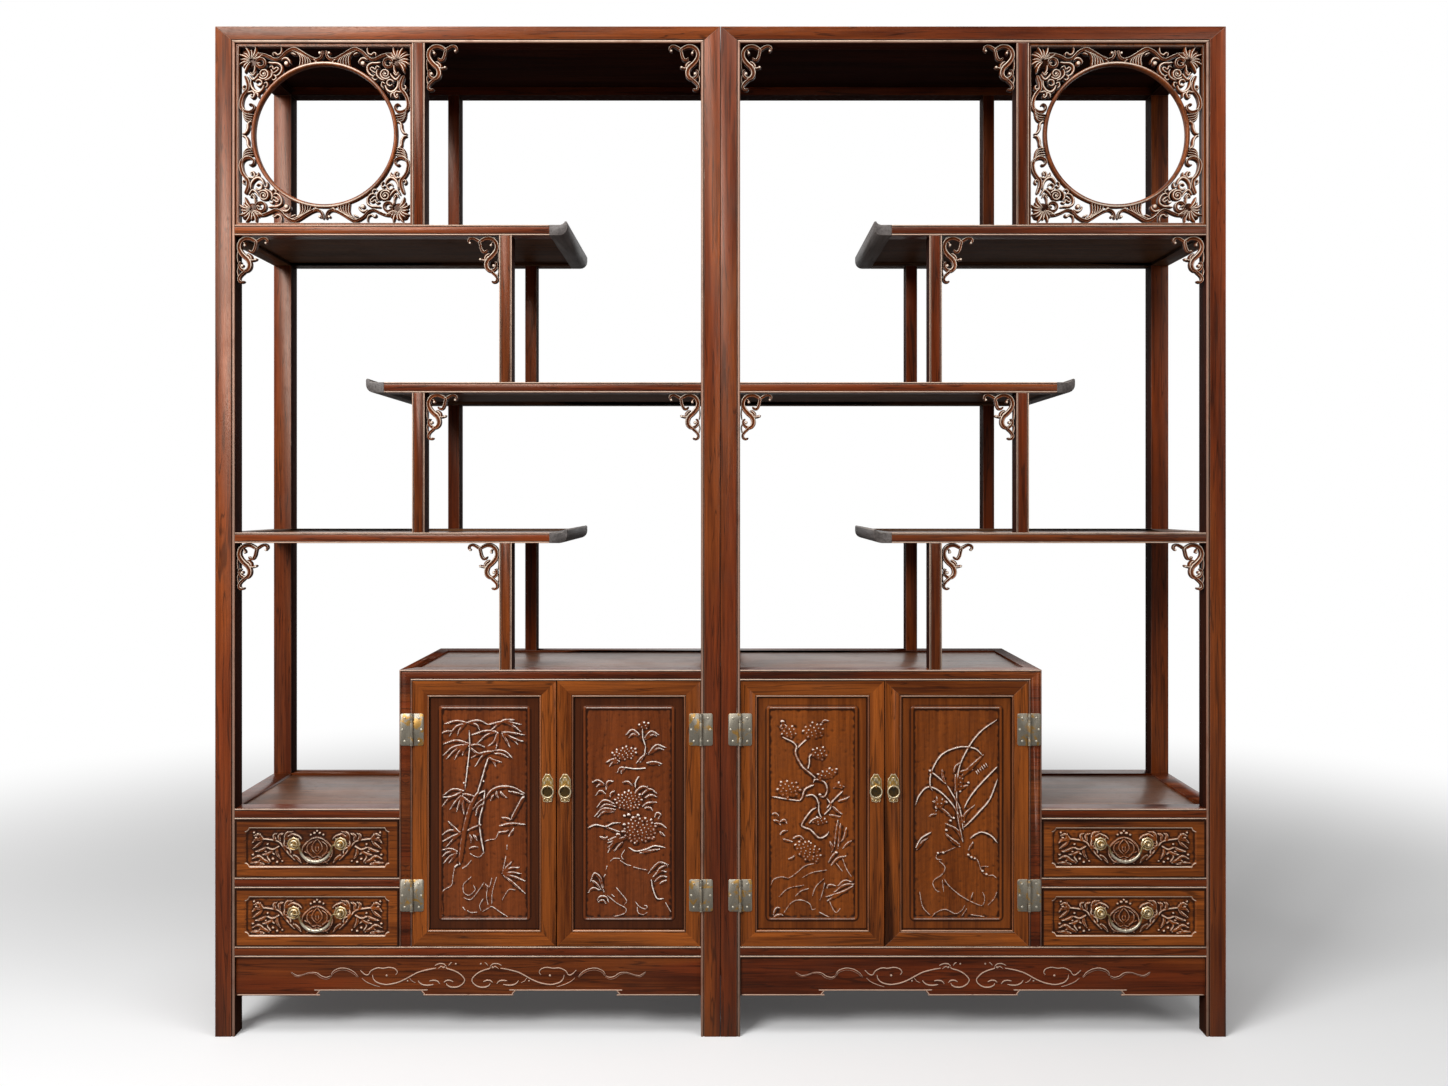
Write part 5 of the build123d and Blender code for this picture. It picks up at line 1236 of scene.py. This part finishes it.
def drawerFrontMesh(name, node):
    # Half of the carving cut twice, mirrored about the middle; the field lies deeper by its distance
    # inside a rectangle with round bites at the corners, and a bead follows that edge
    low, high = boundsOf(node)
    width, height = high[0] - low[0], high[2] - low[2]
    field = Relief(width, height, drawer["step"])
    centre = np.array((width / 2, height / 2 - drawer["lift"]))
    for flip in (-1, 1):
        for kind, size in (("line", 3.6), ("stem", 4.0), ("leaf", 6.0)):
            for spots in halfCarving[kind]:
                field.cut(centre + np.array(spots) * (flip, 1), size, drawer["rise"], kind)
        for u, v, size in halfCarving["bead"]:
            field.dome(centre[0] + flip * u, centre[1] + v, size, size * 0.85, drawer["rise"])
        out, up, radius = drawer["eyeOut"], drawer["eyeUp"], drawer["eyeRadius"]
        arc = [(centre[0] + flip * (out + radius * math.cos(a)), centre[1] - up - radius * math.sin(a))
               for a in np.linspace(-0.9, 2.6, 9)]
        field.cut(arc, 4.0, drawer["rise"], "stem")
        for a in np.linspace(-0.6, 2.3, 9):
            ray = np.array((flip * math.cos(a), -math.sin(a)))
            place = centre + (flip * out, -up)
            field.cut([place + ray * away for away in drawer["rays"]], 2.6, drawer["rise"] * 0.8, "stem")
    field.dome(centre[0], centre[1] + 6, 29, 25, drawer["rise"] * 0.35)
    u, v = np.meshgrid(field.u, field.v)
    a, b = np.abs(u - centre[0]), np.abs(v - centre[1])
    halfU, halfV = width / 2 - drawer["marginU"], height / 2 - drawer["marginV"]
    hollow = drawer["notch"] - np.hypot(a - halfU, b - halfV)
    inside = -np.maximum(np.maximum(a - halfU, b - halfV), hollow)
    sunk = np.clip(inside / drawer["wall"], 0, 1)
    beadLine = np.exp(-((inside - drawer["beadAt"]) / drawer["beadWidth"])**2)
    field.rise = np.where(inside > drawer["field"], field.rise, 0.0) + beadLine * drawer["beadRise"]
    field.rise = field.rise * (inside > 0) - drawer["depth"] * sunk
    field.rise = np.minimum(field.rise, 0.0) + toolMarks(field, drawer["marks"]) * (inside > 5)
    heap = Heap()
    # Painted highlight and shade: a thin bright line along the field's edge, brighter where it runs level, a
    # dark line just inside it, and the outer rim of the front painted fully dark as shade in the gap; the
    # field is darker by groundTone
    fall, across = np.abs(np.gradient(inside))
    lit = door["lineDim"] + (1 - door["lineDim"]) * fall / (fall + across + 1e-6)
    thin = 1.5 * lit * np.exp(-((inside - 1.5) / 0.9)**2) - 0.9 * np.exp(-(inside - 3.6)**2) - 0.1
    relief = np.where(inside < 4.6, thin * (inside > -0.6), field.shade() - drawer["groundTone"])
    relief = np.where(roundedDistance(u, v, (0, width, 0, height), 0.0) < drawer["rim"], -1.0, relief)
    heap.plate(low[0] + field.u, high[2] - field.v, low[1] - field.rise, high[1], relief)
    return heap.mesh(name, grainOrder=(0, 1, 2))


for side in sides:
    for level in ("upper", "lower"):
        node = side + "_" + level + "_drawer_front"
        finishPiece(node + "Carving", drawerFrontMesh(node + "Mesh", node), woods["drawerWood"], node)
print("drawer fronts carved")

# Apron vine: half of a low scroll as (from the middle, height, width), mirrored, and a bead along the edge
vine = {"middle": 480.0, "face": 6.0, "rise": 1.3, "edge": 1.5, "beadWidth": 3.0, "beadRise": 0.9}
vineStrokes = [
    ([(338, 121, 2.4), (327, 113.7, 4.0), (316, 115.3, 2.6), (302, 119.5, 2.8), (289, 118.2, 4.6),
      (279, 111.5, 5.4), (269, 109.6, 5.0), (261, 113.4, 2.8)], gougeSection),
    ([(260, 114, 2.6), (258, 119.5, 4.2), (252, 124, 5.4), (241, 127, 5.6), (228, 125, 5.4), (217, 119, 4.6),
      (209.5, 111, 2.6)], gougeSection),
    ([(206, 125, 1.8), (197, 116.7, 3.0), (190.5, 116, 2.8), (185, 123.6, 2.8), (173.2, 128.8, 3.0),
      (161.7, 128.2, 2.8), (150.1, 130, 2.8), (139, 127, 2.8), (135, 120.7, 2.6),
      (138.6, 115.6, 2.0)], ridgeSection),
    ([(182.5, 116, 1.8), (180.5, 108, 3.0), (173.2, 101.1, 3.4), (159.3, 97.4, 3.4), (147.8, 98.1, 3.4),
      (134, 101.4, 3.4), (120.2, 107.4, 3.4), (106.4, 115, 3.6), (94.9, 120.7, 3.4), (78.7, 125.2, 3.4),
      (61, 128.6, 2.6)], ridgeSection),
    ([(42.6, 130.5, 2.6), (40, 127.6, 3.4), (28.1, 124, 3.4), (16.6, 118, 3.4), (8.4, 109.6, 3.4),
      (7.2, 104, 3.4), (12, 97.4, 3.4), (21.2, 92.6, 3.8), (32.7, 92.4, 4.0), (39.8, 96, 3.4),
      (42, 100, 2.4)], ridgeSection),
    ([(46.5, 101, 2.4), (42.5, 104.6, 3.4), (35, 105.2, 3.4), (28.4, 102.4, 2.2)], ridgeSection),
    ([(96, 105.6, 2.0), (92.5, 100.6, 3.2), (86, 96.8, 3.8), (76.4, 95.8, 4.0),
      (66, 97.4, 2.6)], ridgeSection),
    ([(74, 104.2, 2.2), (66, 105.2, 3.4), (58.6, 103.6, 3.4), (54, 98.4, 2.4)], ridgeSection),
    ([(63.6, 133.6, 2.2), (56, 136.8, 3.0), (47, 136.6, 3.0), (41.5, 131.6, 2.2)], ridgeSection),
    ([(58, 127.4, 2.2), (51, 131.6, 4.4), (46.6, 127.8, 2.4)], bladeSection),
    ([(37.4, 133.4, 2.0), (34.4, 137.4, 3.0), (31, 139.6, 2.0)], ridgeSection),
    ([(112, 110.4, 1.8), (107, 104, 3.0), (100, 100.6, 1.8)], bladeSection),
    ([(203, 110, 2.0), (193.9, 102.4, 3.0), (180, 96.4, 3.0), (168, 93, 1.8)], bladeSection),
]
vineBeads = ((155.4, 114.6, 2.4), (115.6, 104.4, 1.8), (23.8, 136.8, 2.0), (46, 130.4, 2.0))
apronEdge = ((440, 76), (292.6, 76), (290, 76.4), (282.6, 84.2), (280, 85), (92, 85), (89.6, 84.6),
             (82.4, 76.8), (80, 76), (0, 76))


def vineHeap():
    # Each stroke on both sides of the middle, and the bead that follows the apron's lower edge
    heap = Heap()
    face, back = vine["face"], vine["face"] + 1.2
    for way in (-1, 1):
        for spots, section in vineStrokes:
            placed = np.array(spots, dtype=float) * (way, 1, 1) + (vine["middle"], 0, 0)
            stroke(heap, placed[::way], face - vine["rise"], back, section, step=1.8)
        for a, z, radius in vineBeads:
            bead(heap, (vine["middle"] + way * a, z), radius, face - vine["rise"] - 0.4, back)
        edge = [(vine["middle"] + way * a, z + vine["edge"], vine["beadWidth"]) for a, z in apronEdge]
        stroke(heap, edge[::way], face - vine["beadRise"], back, ridgeSection, step=2.5)
    return heap


for side, sign in sides.items():
    made = bpy.data.objects.new(side + "ApronVine", vineHeap().mesh(side + "ApronVineMesh", sign, (0, 1, 2)))
    bpy.context.scene.collection.objects.link(made)
    made.data.materials.append(woods["frameWood"])
    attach(made, bodyOf(side + "_aprons"))
print("apron vines carved")


def tube(heap, path, radii, normal=(0, 1, 0), steps=14, closed=False, relief=0.0):
    # A round bar along a flat path: one frame direction is the path's own normal, the other its side
    path = np.asarray(path, dtype=float)
    radii = np.broadcast_to(np.asarray(radii, dtype=float), len(path))
    if closed:
        heading = np.roll(path, -1, axis=0) - np.roll(path, 1, axis=0)
    else:
        heading = np.gradient(path, axis=0)
    heading /= np.linalg.norm(heading, axis=1)[:, None]
    up = np.broadcast_to(np.asarray(normal, dtype=float), path.shape)
    side = np.cross(heading, up)
    angle = np.linspace(0, 2 * np.pi, steps, endpoint=False)
    ring = np.cos(angle)[None, :, None] * up[:, None] + np.sin(angle)[None, :, None] * side[:, None]
    points = path[:, None] + ring * radii[:, None, None]
    heap.grid(points, np.asarray(relief), closeLong=closed)


def leafPlate(heap, outline, centre, thickness, edge=0.5):
    # A thin plate with an eased front edge: rows of the same outline, the front row drawn in a little
    outline = np.asarray(outline, dtype=float)
    middle = np.asarray(centre, dtype=float)
    reach = np.linalg.norm(outline - middle, axis=1)[:, None]
    front = middle + (outline - middle) * (1 - edge / reach)
    rows = [(outline, 0.0), (outline, edge - thickness), (front, -thickness)]
    heap.grid(np.stack([np.stack([o[:, 0], np.full(len(o), y), o[:, 1]], axis=1) for o, y in rows]),
              np.array([[0.1], [1.0], [0.0]]))


def dome(heap, centre, radius, y, rise, relief=0.8):
    # A domed nail head that stands on the face at y
    angle = np.linspace(0.05, np.pi / 2, 5)
    profile = [(radius * math.sin(a), y - rise * math.cos(a), relief * math.cos(a)) for a in angle]
    turned(heap, centre, profile + [(radius, y + 0.6, -0.6)], steps=14)


hinge = {"width": 22.5, "height": 61.0, "thick": 1.6, "corner": 4.0, "barrel": 3.2, "middle": 33.0,
         "air": 0.3, "endAir": 0.2, "low": 269.0, "high": 584.0, "nail": 2.5, "nailRise": 1.1}


def hingeLeaf(heap, x, z, way, moving):
    # The same outline as the CAD leaf with round corners, its knuckles as round barrels, and three
    # nails; way is the side of the pin that the leaf lies on
    h = hinge
    half, middle = h["height"] / 2, h["middle"] / 2
    clear = h["barrel"] + h["air"]
    end = middle - h["endAir"] if moving else middle
    atEnd, atMiddle = (clear, h["air"]) if moving else (h["air"], clear)
    turns = np.linspace(0, np.pi / 2, 5)
    bend = [(h["width"] - h["corner"] * (1 - math.sin(t)), half - h["corner"] * (1 - math.cos(t)))
            for t in turns]
    quarter = np.array([(atMiddle, end), (atEnd, end), (atEnd, half)] + bend)
    outline = np.vstack([quarter, quarter[::-1] * (1, -1)])
    outline = outline * (way, 1) + (x, z)
    leafPlate(heap, outline, (x + way * h["width"] / 2, z), h["thick"])
    for b in (-1, 0, 1):
        place = (x + way * h["width"] * (0.60 if b else 0.80), z + b * half * 0.72)
        dome(heap, place, h["nail"], -h["thick"], h["nailRise"], 1.0)
    axis = -(h["barrel"] + h["air"])
    spans = [(-end, end)] if moving else [(-half, -middle), (middle, half)]
    for low, high in spans:
        r = h["barrel"]
        rows = [(low, 0.55 * r), (low + 0.15, 0.9 * r), (low + 0.7, r), (low + 2.2, r), (low + 2.6, 0.93 * r),
                (low + 3.0, r), (high - 3.0, r), (high - 2.6, 0.93 * r), (high - 2.2, r), (high - 0.7, r),
                (high - 0.15, 0.9 * r), (high, 0.55 * r)]
        tube(heap, [(x, axis, z + a) for a, _ in rows], [b for _, b in rows], steps=20,
             relief=np.array([[0.2, 0.5, 0.3, 0.2, -0.8, 0.3, 0.3, -0.8, 0.2, 0.3, 0.5, 0.2]]).T)


caseInner, postWidth = 586.0, 37.0
doorMiddle = (postWidth + caseInner) / 2
pull = {"width": 25.0, "height": 56.0, "thick": 1.5, "z": 473.0, "eyeZ": 477.5, "standoff": 4.5,
        "ring": 11.0, "wire": 1.4, "stile": 15.5, "meeting": 1.1, "lobe": 0.035, "petal": 0.35, "top": 1.9}


def pullPlate(heap, x):
    # A waisted oval with lobes and chased petals, as rings whose radius follows two cosines; an eye for
    # the ring and a scroll bow at the foot
    t = np.linspace(0, 2 * np.pi, 72, endpoint=False)
    lobe = 1 + pull["lobe"] * np.cos(10 * t)
    waist = 1 - 0.10 * np.exp(-(np.sin(t) / 0.28)**2)
    halfU, halfV = (pull[key] / 2 / (1 + pull["lobe"]) for key in ("width", "height"))
    rows, shade = [], []
    for share, lift, level in ((1.0, 0.0, 0.3), (1.0, 0.9, 0.8), (0.95, 1.5, 0.9), (0.86, 0.9, -0.9),
                               (0.78, 1.2, 0.0), (0.62, 1.7, 0.6), (0.42, 1.5, -0.4), (0.25, 1.9, 0.5),
                               (0.05, 1.9, 0.7)):
        petals = pull["petal"] * np.abs(np.cos(5 * t)) * (0.3 < share < 0.9)
        edge = lobe**(share**2) * waist**share
        rows.append(np.stack([x + halfU * share * edge * np.cos(t),
                              -(lift + petals) * pull["thick"] / pull["top"],
                              pull["z"] + halfV * share * edge * np.sin(t)], axis=1))
        shade.append(level + petals * 2 - pull["petal"] * (petals > 0))
    rows, shade = np.stack(rows), np.clip(np.stack([np.broadcast_to(s, t.shape) for s in shade]), -1, 1)
    away = np.hypot(rows[..., 0] - x, rows[..., 2] - pull["eyeZ"] + pull["ring"])
    heap.grid(rows, np.where(away < pull["ring"] - 0.5, -1.0, shade))
    angle = np.linspace(0, 2 * np.pi, 20, endpoint=False)
    loop = [(x, -pull["standoff"] + 0.2 + 2.9 * math.cos(a), pull["eyeZ"] + 2.9 * math.sin(a)) for a in angle]
    tube(heap, loop, 1.0, normal=(1, 0, 0), steps=10, closed=True, relief=0.3)
    foot = pull["z"] - pull["height"] / 2
    for way in (-1, 1):
        curl = [(x, foot + 5.5, 1.4), (x + way * 4.5, foot + 8.5, 2.0), (x + way * 8, foot + 6, 1.9),
                (x + way * 7, foot + 2.5, 1.7), (x + way * 4.2, foot + 3.6, 1.2)]
        stroke(heap, curl if way > 0 else curl[::-1], -2.6, -0.2, ridgeSection, step=1.0)
    dome(heap, (x, foot + 4.6), 2.2, -1.2, 1.9)
    dome(heap, (x, foot + 1.4), 1.3, -0.6, 1.3)
    dome(heap, (x, pull["z"] + 19), 2.6, -1.2, 1.6)


rose = {"spacing": 89.0, "drop": 9.5, "radius": 12.5, "face": 2.5, "lobes": 8, "dent": 0.7}
bail = {"reach": 31.0, "standoff": 9.0, "pin": 3.4, "lead": 7, "thin": 1.6, "swell": 1.3, "swellShare": 0.75,
        "collars": (-0.16, 0.0, 0.16), "collarRise": 0.8, "collarWidth": 0.022}


def roseHeap(heap, x, z):
    # A lobed rose of two rows of petals, and the knob that takes the end of the bail: rings whose radius
    # swings with the cosine of the lobes, dented by its sine
    t = np.linspace(0, 2 * np.pi, 64, endpoint=False)
    rows, shade = [], []
    for share, lift, level, swing in ((1.0, 0.0, -0.6, 0.07), (1.0, 1.4, 0.5, 0.07), (0.88, 2.6, 0.8, 0.05),
                                      (0.66, 1.9, -0.8, 0.0), (0.62, 3.4, 0.6, 0.06), (0.5, 4.2, 0.8, 0.05),
                                      (0.36, 3.6, -0.7, 0.0), (0.1, 3.6, -0.3, 0.0)):
        turn = rose["lobes"] / 2 * (t + (lift > 3) * np.pi / rose["lobes"])
        wave = 1 + swing * np.abs(np.cos(turn)) - swing
        dent = rose["dent"] * np.abs(np.sin(turn)) * (swing > 0)
        radius = rose["radius"] * share * wave
        rows.append(np.stack([x + radius * np.cos(t), rose["face"] - lift - 0.5 * dent * (lift > 0),
                              z + radius * np.sin(t)], axis=1))
        shade.append(np.clip(level + 0.5 * dent, -1, 1))
    heap.grid(np.stack(rows), np.stack([np.broadcast_to(s, t.shape) for s in shade]))
    knob = ((3.6, 0.5, -0.6), (3.4, -1.8, 0.5), (2.3, -2.8, -0.7), (2.3, -4.6, 0.2), (3.0, -6.0, 0.5),
            (3.6, -7.4, 0.6), (3.8, -9.0, 0.6), (3.4, -10.6, 0.6), (2.3, -11.9, 0.7), (0.8, -12.45, 0.7))
    turned(heap, (x, z), knob[::-1], steps=20)


def bailHeap(heap, x, z):
    # The bail hangs from its two pins as a half ring that swells towards the middle, with three collars
    a = np.linspace(0, np.pi, 61)
    arc = np.stack([bail["reach"] * np.cos(a), -bail["reach"] * np.sin(a)], axis=1)
    pinEnd = rose["spacing"] / 2 + bail["pin"]
    lead = [(pinEnd, 0.0), (bail["reach"] + bail["lead"], 0.0), (bail["reach"] + 2.2, -0.2)]
    path = np.vstack([lead, arc[3:-3], [(-u, v) for u, v in lead[::-1]]])
    path = smoothPath(path, 110)
    share = np.linspace(-1, 1, len(path))
    radii = bail["thin"] + bail["swell"] * np.clip(1 - (share / bail["swellShare"])**2, 0, 1)
    for at in bail["collars"]:
        radii += bail["collarRise"] * np.exp(-((share - at) / bail["collarWidth"])**2)
    places = np.stack([x + path[:, 0], np.full(len(path), -bail["standoff"]), z + path[:, 1]], axis=1)
    tube(heap, places, radii, relief=np.clip((radii - 1.9) * 1.2, -0.5, 0.9)[:, None])


for side, sign in sides.items():
    heap = Heap()
    for x, way in ((caseInner, 1), (postWidth, -1)):
        for z in (hinge["low"], hinge["high"]):
            hingeLeaf(heap, x, z, way, False)
    node = side + "_fixed_hinge_leaves"
    finishPiece(side + "FixedHinges", heap.mesh(node + "Mesh", sign), metals["hingeBrass"], node)
    for label, x, way, pullX in (("outer", caseInner, -1, doorMiddle + pull["meeting"] + pull["stile"]),
                                 ("inner", postWidth, 1, doorMiddle - pull["meeting"] - pull["stile"])):
        node = side + "_" + label + "_door_fittings"
        heap = Heap()
        for z in (hinge["low"], hinge["high"]):
            hingeLeaf(heap, x, z, way, True)
        leaves = heap.mesh(node + "LeafMesh", sign)
        finishPiece(node + "Leaves", leaves, metals["hingeBrass"], node)
        heap = Heap()
        pullPlate(heap, pullX)
        finishPiece(node + "Plate", heap.mesh(node + "PlateMesh", sign), metals["pullBrass"], node)
        node = side + "_" + label + "_door_pull_ring"
        heap = Heap()
        angle = np.linspace(0, 2 * np.pi, 56, endpoint=False)
        ring = [(pullX + pull["ring"] * math.cos(a), -pull["standoff"],
                 pull["eyeZ"] - pull["ring"] + pull["ring"] * math.sin(a)) for a in angle]
        tube(heap, ring, pull["wire"], closed=True, relief=0.9)
        finishPiece(node + "Metal", heap.mesh(node + "Mesh", sign), metals["pullBrass"], node)
    for level in ("upper", "lower"):
        low, high = boundsOf(side + "_" + level + "_drawer_front")
        x = abs(low[0] + high[0]) / 2 - seam * perMetre
        z = (low[2] + high[2]) / 2 + rose["drop"]
        node = side + "_" + level + "_drawer_rosettes"
        heap = Heap()
        for way in (-1, 1):
            roseHeap(heap, x + way * rose["spacing"] / 2, z)
        finishPiece(node + "Metal", heap.mesh(node + "Mesh", sign), metals["pullBrass"], node)
        node = side + "_" + level + "_drawer_bail"
        heap = Heap()
        bailHeap(heap, x, z)
        finishPiece(node + "Metal", heap.mesh(node + "Mesh", sign), metals["bailBrass"], node)
print("fittings made")


# Room: a pale floor that keeps the soft shadow and goes over into a white surround, and the camera
room = {"floorSize": 60.0, "floorGrey": 0.90, "floorBounce": 0.30, "floorGlow": 0.05, "whiteFrom": 1.6,
        "whiteTo": 3.6, "worldLight": 0.21, "gloss": 0.16, "glossFrom": -0.2, "glossTo": 0.4}
# Place, target, size and watts of each soft light
lamps = {"keyLight": ((-2.05, -2.8, 2.75), (-0.1, 0, 0.9), (1.7, 1.3), 124),
         "fillLight": ((3.1, -2.4, 2.4), (0, 0, 0.7), (1.4, 1.4), 18),
         "topLight": ((0.0, -1.3, 4.0), (0, 0, 0), (3.0, 1.6), 60)}
view = {"distance": 2.40, "aside": 0.010, "height": 1.02, "widthSeen": 2.751, "sensor": 36.0,
        "vanishX": 725.8, "vanishY": 500.0, "imageWidth": 1448.0, "imageHeight": 1086.0}


def whiteSurround():
    # World: plain white where the camera, metal or glass looks, and a softer grey as light
    world = bpy.data.worlds.new("surround")
    bpy.context.scene.world = world
    world.use_nodes = True
    w = Wiring(world.node_tree)
    w.nodes.clear()
    path = w.node("LightPath").outputs
    seen = w.math("MAXIMUM", path["Is Camera Ray"], path["Is Transmission Ray"])
    toward = w.node("SeparateXYZ", {0: w.node("TexCoord").outputs["Generated"]}).outputs["Y"]
    gloss = w.step(toward, room["glossFrom"], room["glossTo"], outLow=room["gloss"])
    light = w.node("Mix", {0: path["Is Glossy Ray"], 2: room["worldLight"], 3: gloss}).outputs[0]
    strength = w.node("Mix", {0: seen, 2: light, 3: 1.0}).outputs[0]
    glow = w.node("Background", {"Color": rgb(1, 1, 1), "Strength": strength})
    w.put(w.node("OutputWorld").inputs[0], glow.outputs[0])


def paleFloor():
    # Floor: a diffuse grey that takes the shadow, lifted to white for the camera by a plain glow,
    # and only glow far from the object
    size = room["floorSize"]
    mesh = bpy.data.meshes.new("floor")
    mesh.from_pydata([(-size, -size, 0), (size, -size, 0), (size, size, 0), (-size, size, 0)], [],
                     [(0, 1, 2, 3)])
    made = bpy.data.objects.new("floor", mesh)
    bpy.context.scene.collection.objects.link(made)
    material = bpy.data.materials.new("paleFloor")
    material.use_nodes = True
    w = Wiring(material.node_tree)
    w.nodes.clear()
    seen = w.node("LightPath").outputs["Is Camera Ray"]
    place = w.node("TexCoord").outputs["Object"]
    away = w.node("VectorMath", {0: place}, operation="LENGTH").outputs["Value"]
    far = w.step(away, room["whiteFrom"], room["whiteTo"])
    grey = w.mix(seen, rgb(*[room["floorBounce"]] * 3), rgb(*[room["floorGrey"]] * 3))
    base = w.node("BsdfDiffuse", {"Color": grey})
    lift = w.math("MULTIPLY", seen, room["floorGlow"])
    glow = w.node("Emission", {"Color": rgb(1, 1, 1), "Strength": lift})
    white = w.node("Emission", {"Color": rgb(1, 1, 1), "Strength": 1.0})
    near = w.node("AddShader", {0: base.outputs[0], 1: glow.outputs[0]})
    whole = w.node("MixShader", {0: w.math("MULTIPLY", far, seen), 1: near.outputs[0], 2: white.outputs[0]})
    w.put(w.node("OutputMaterial").inputs[0], whole.outputs[0])
    mesh.materials.append(material)


def softBox(name, place, target, size, power):
    # A rectangular light that faces its target and can't be seen itself
    lamp = bpy.data.lights.new(name, "AREA")
    lamp.shape = "RECTANGLE"
    lamp.size, lamp.size_y = size
    lamp.energy = power
    made = bpy.data.objects.new(name, lamp)
    made.location = place
    made.rotation_euler = (Vector(target) - Vector(place)).to_track_quat("-Z", "Y").to_euler()
    made.visible_camera = False
    bpy.context.scene.collection.objects.link(made)


def aimCamera():
    # Level camera before the object; the shifts put its straight-ahead point at the vanishing point.
    # It stands a little aside, so that no light shows through the seam of the pair
    lens = bpy.data.cameras.new("camera")
    lens.sensor_fit = "HORIZONTAL"
    lens.sensor_width = view["sensor"]
    lens.lens = view["sensor"] * view["distance"] / view["widthSeen"]
    lens.shift_x = (view["imageWidth"] / 2 - view["vanishX"]) / view["imageWidth"]
    lens.shift_y = -(view["imageHeight"] / 2 - view["vanishY"]) / view["imageWidth"]
    made = bpy.data.objects.new("camera", lens)
    made.location = (view["aside"], -backShift - view["distance"], view["height"])
    made.rotation_euler = (math.pi / 2, 0.0, 0.0)
    bpy.context.scene.collection.objects.link(made)
    bpy.context.scene.camera = made


whiteSurround()
paleFloor()
for name, lamp in lamps.items():
    softBox(name, *lamp)
aimCamera()
bpy.context.scene.view_settings.view_transform = "Standard"
print("room, lights and camera set")
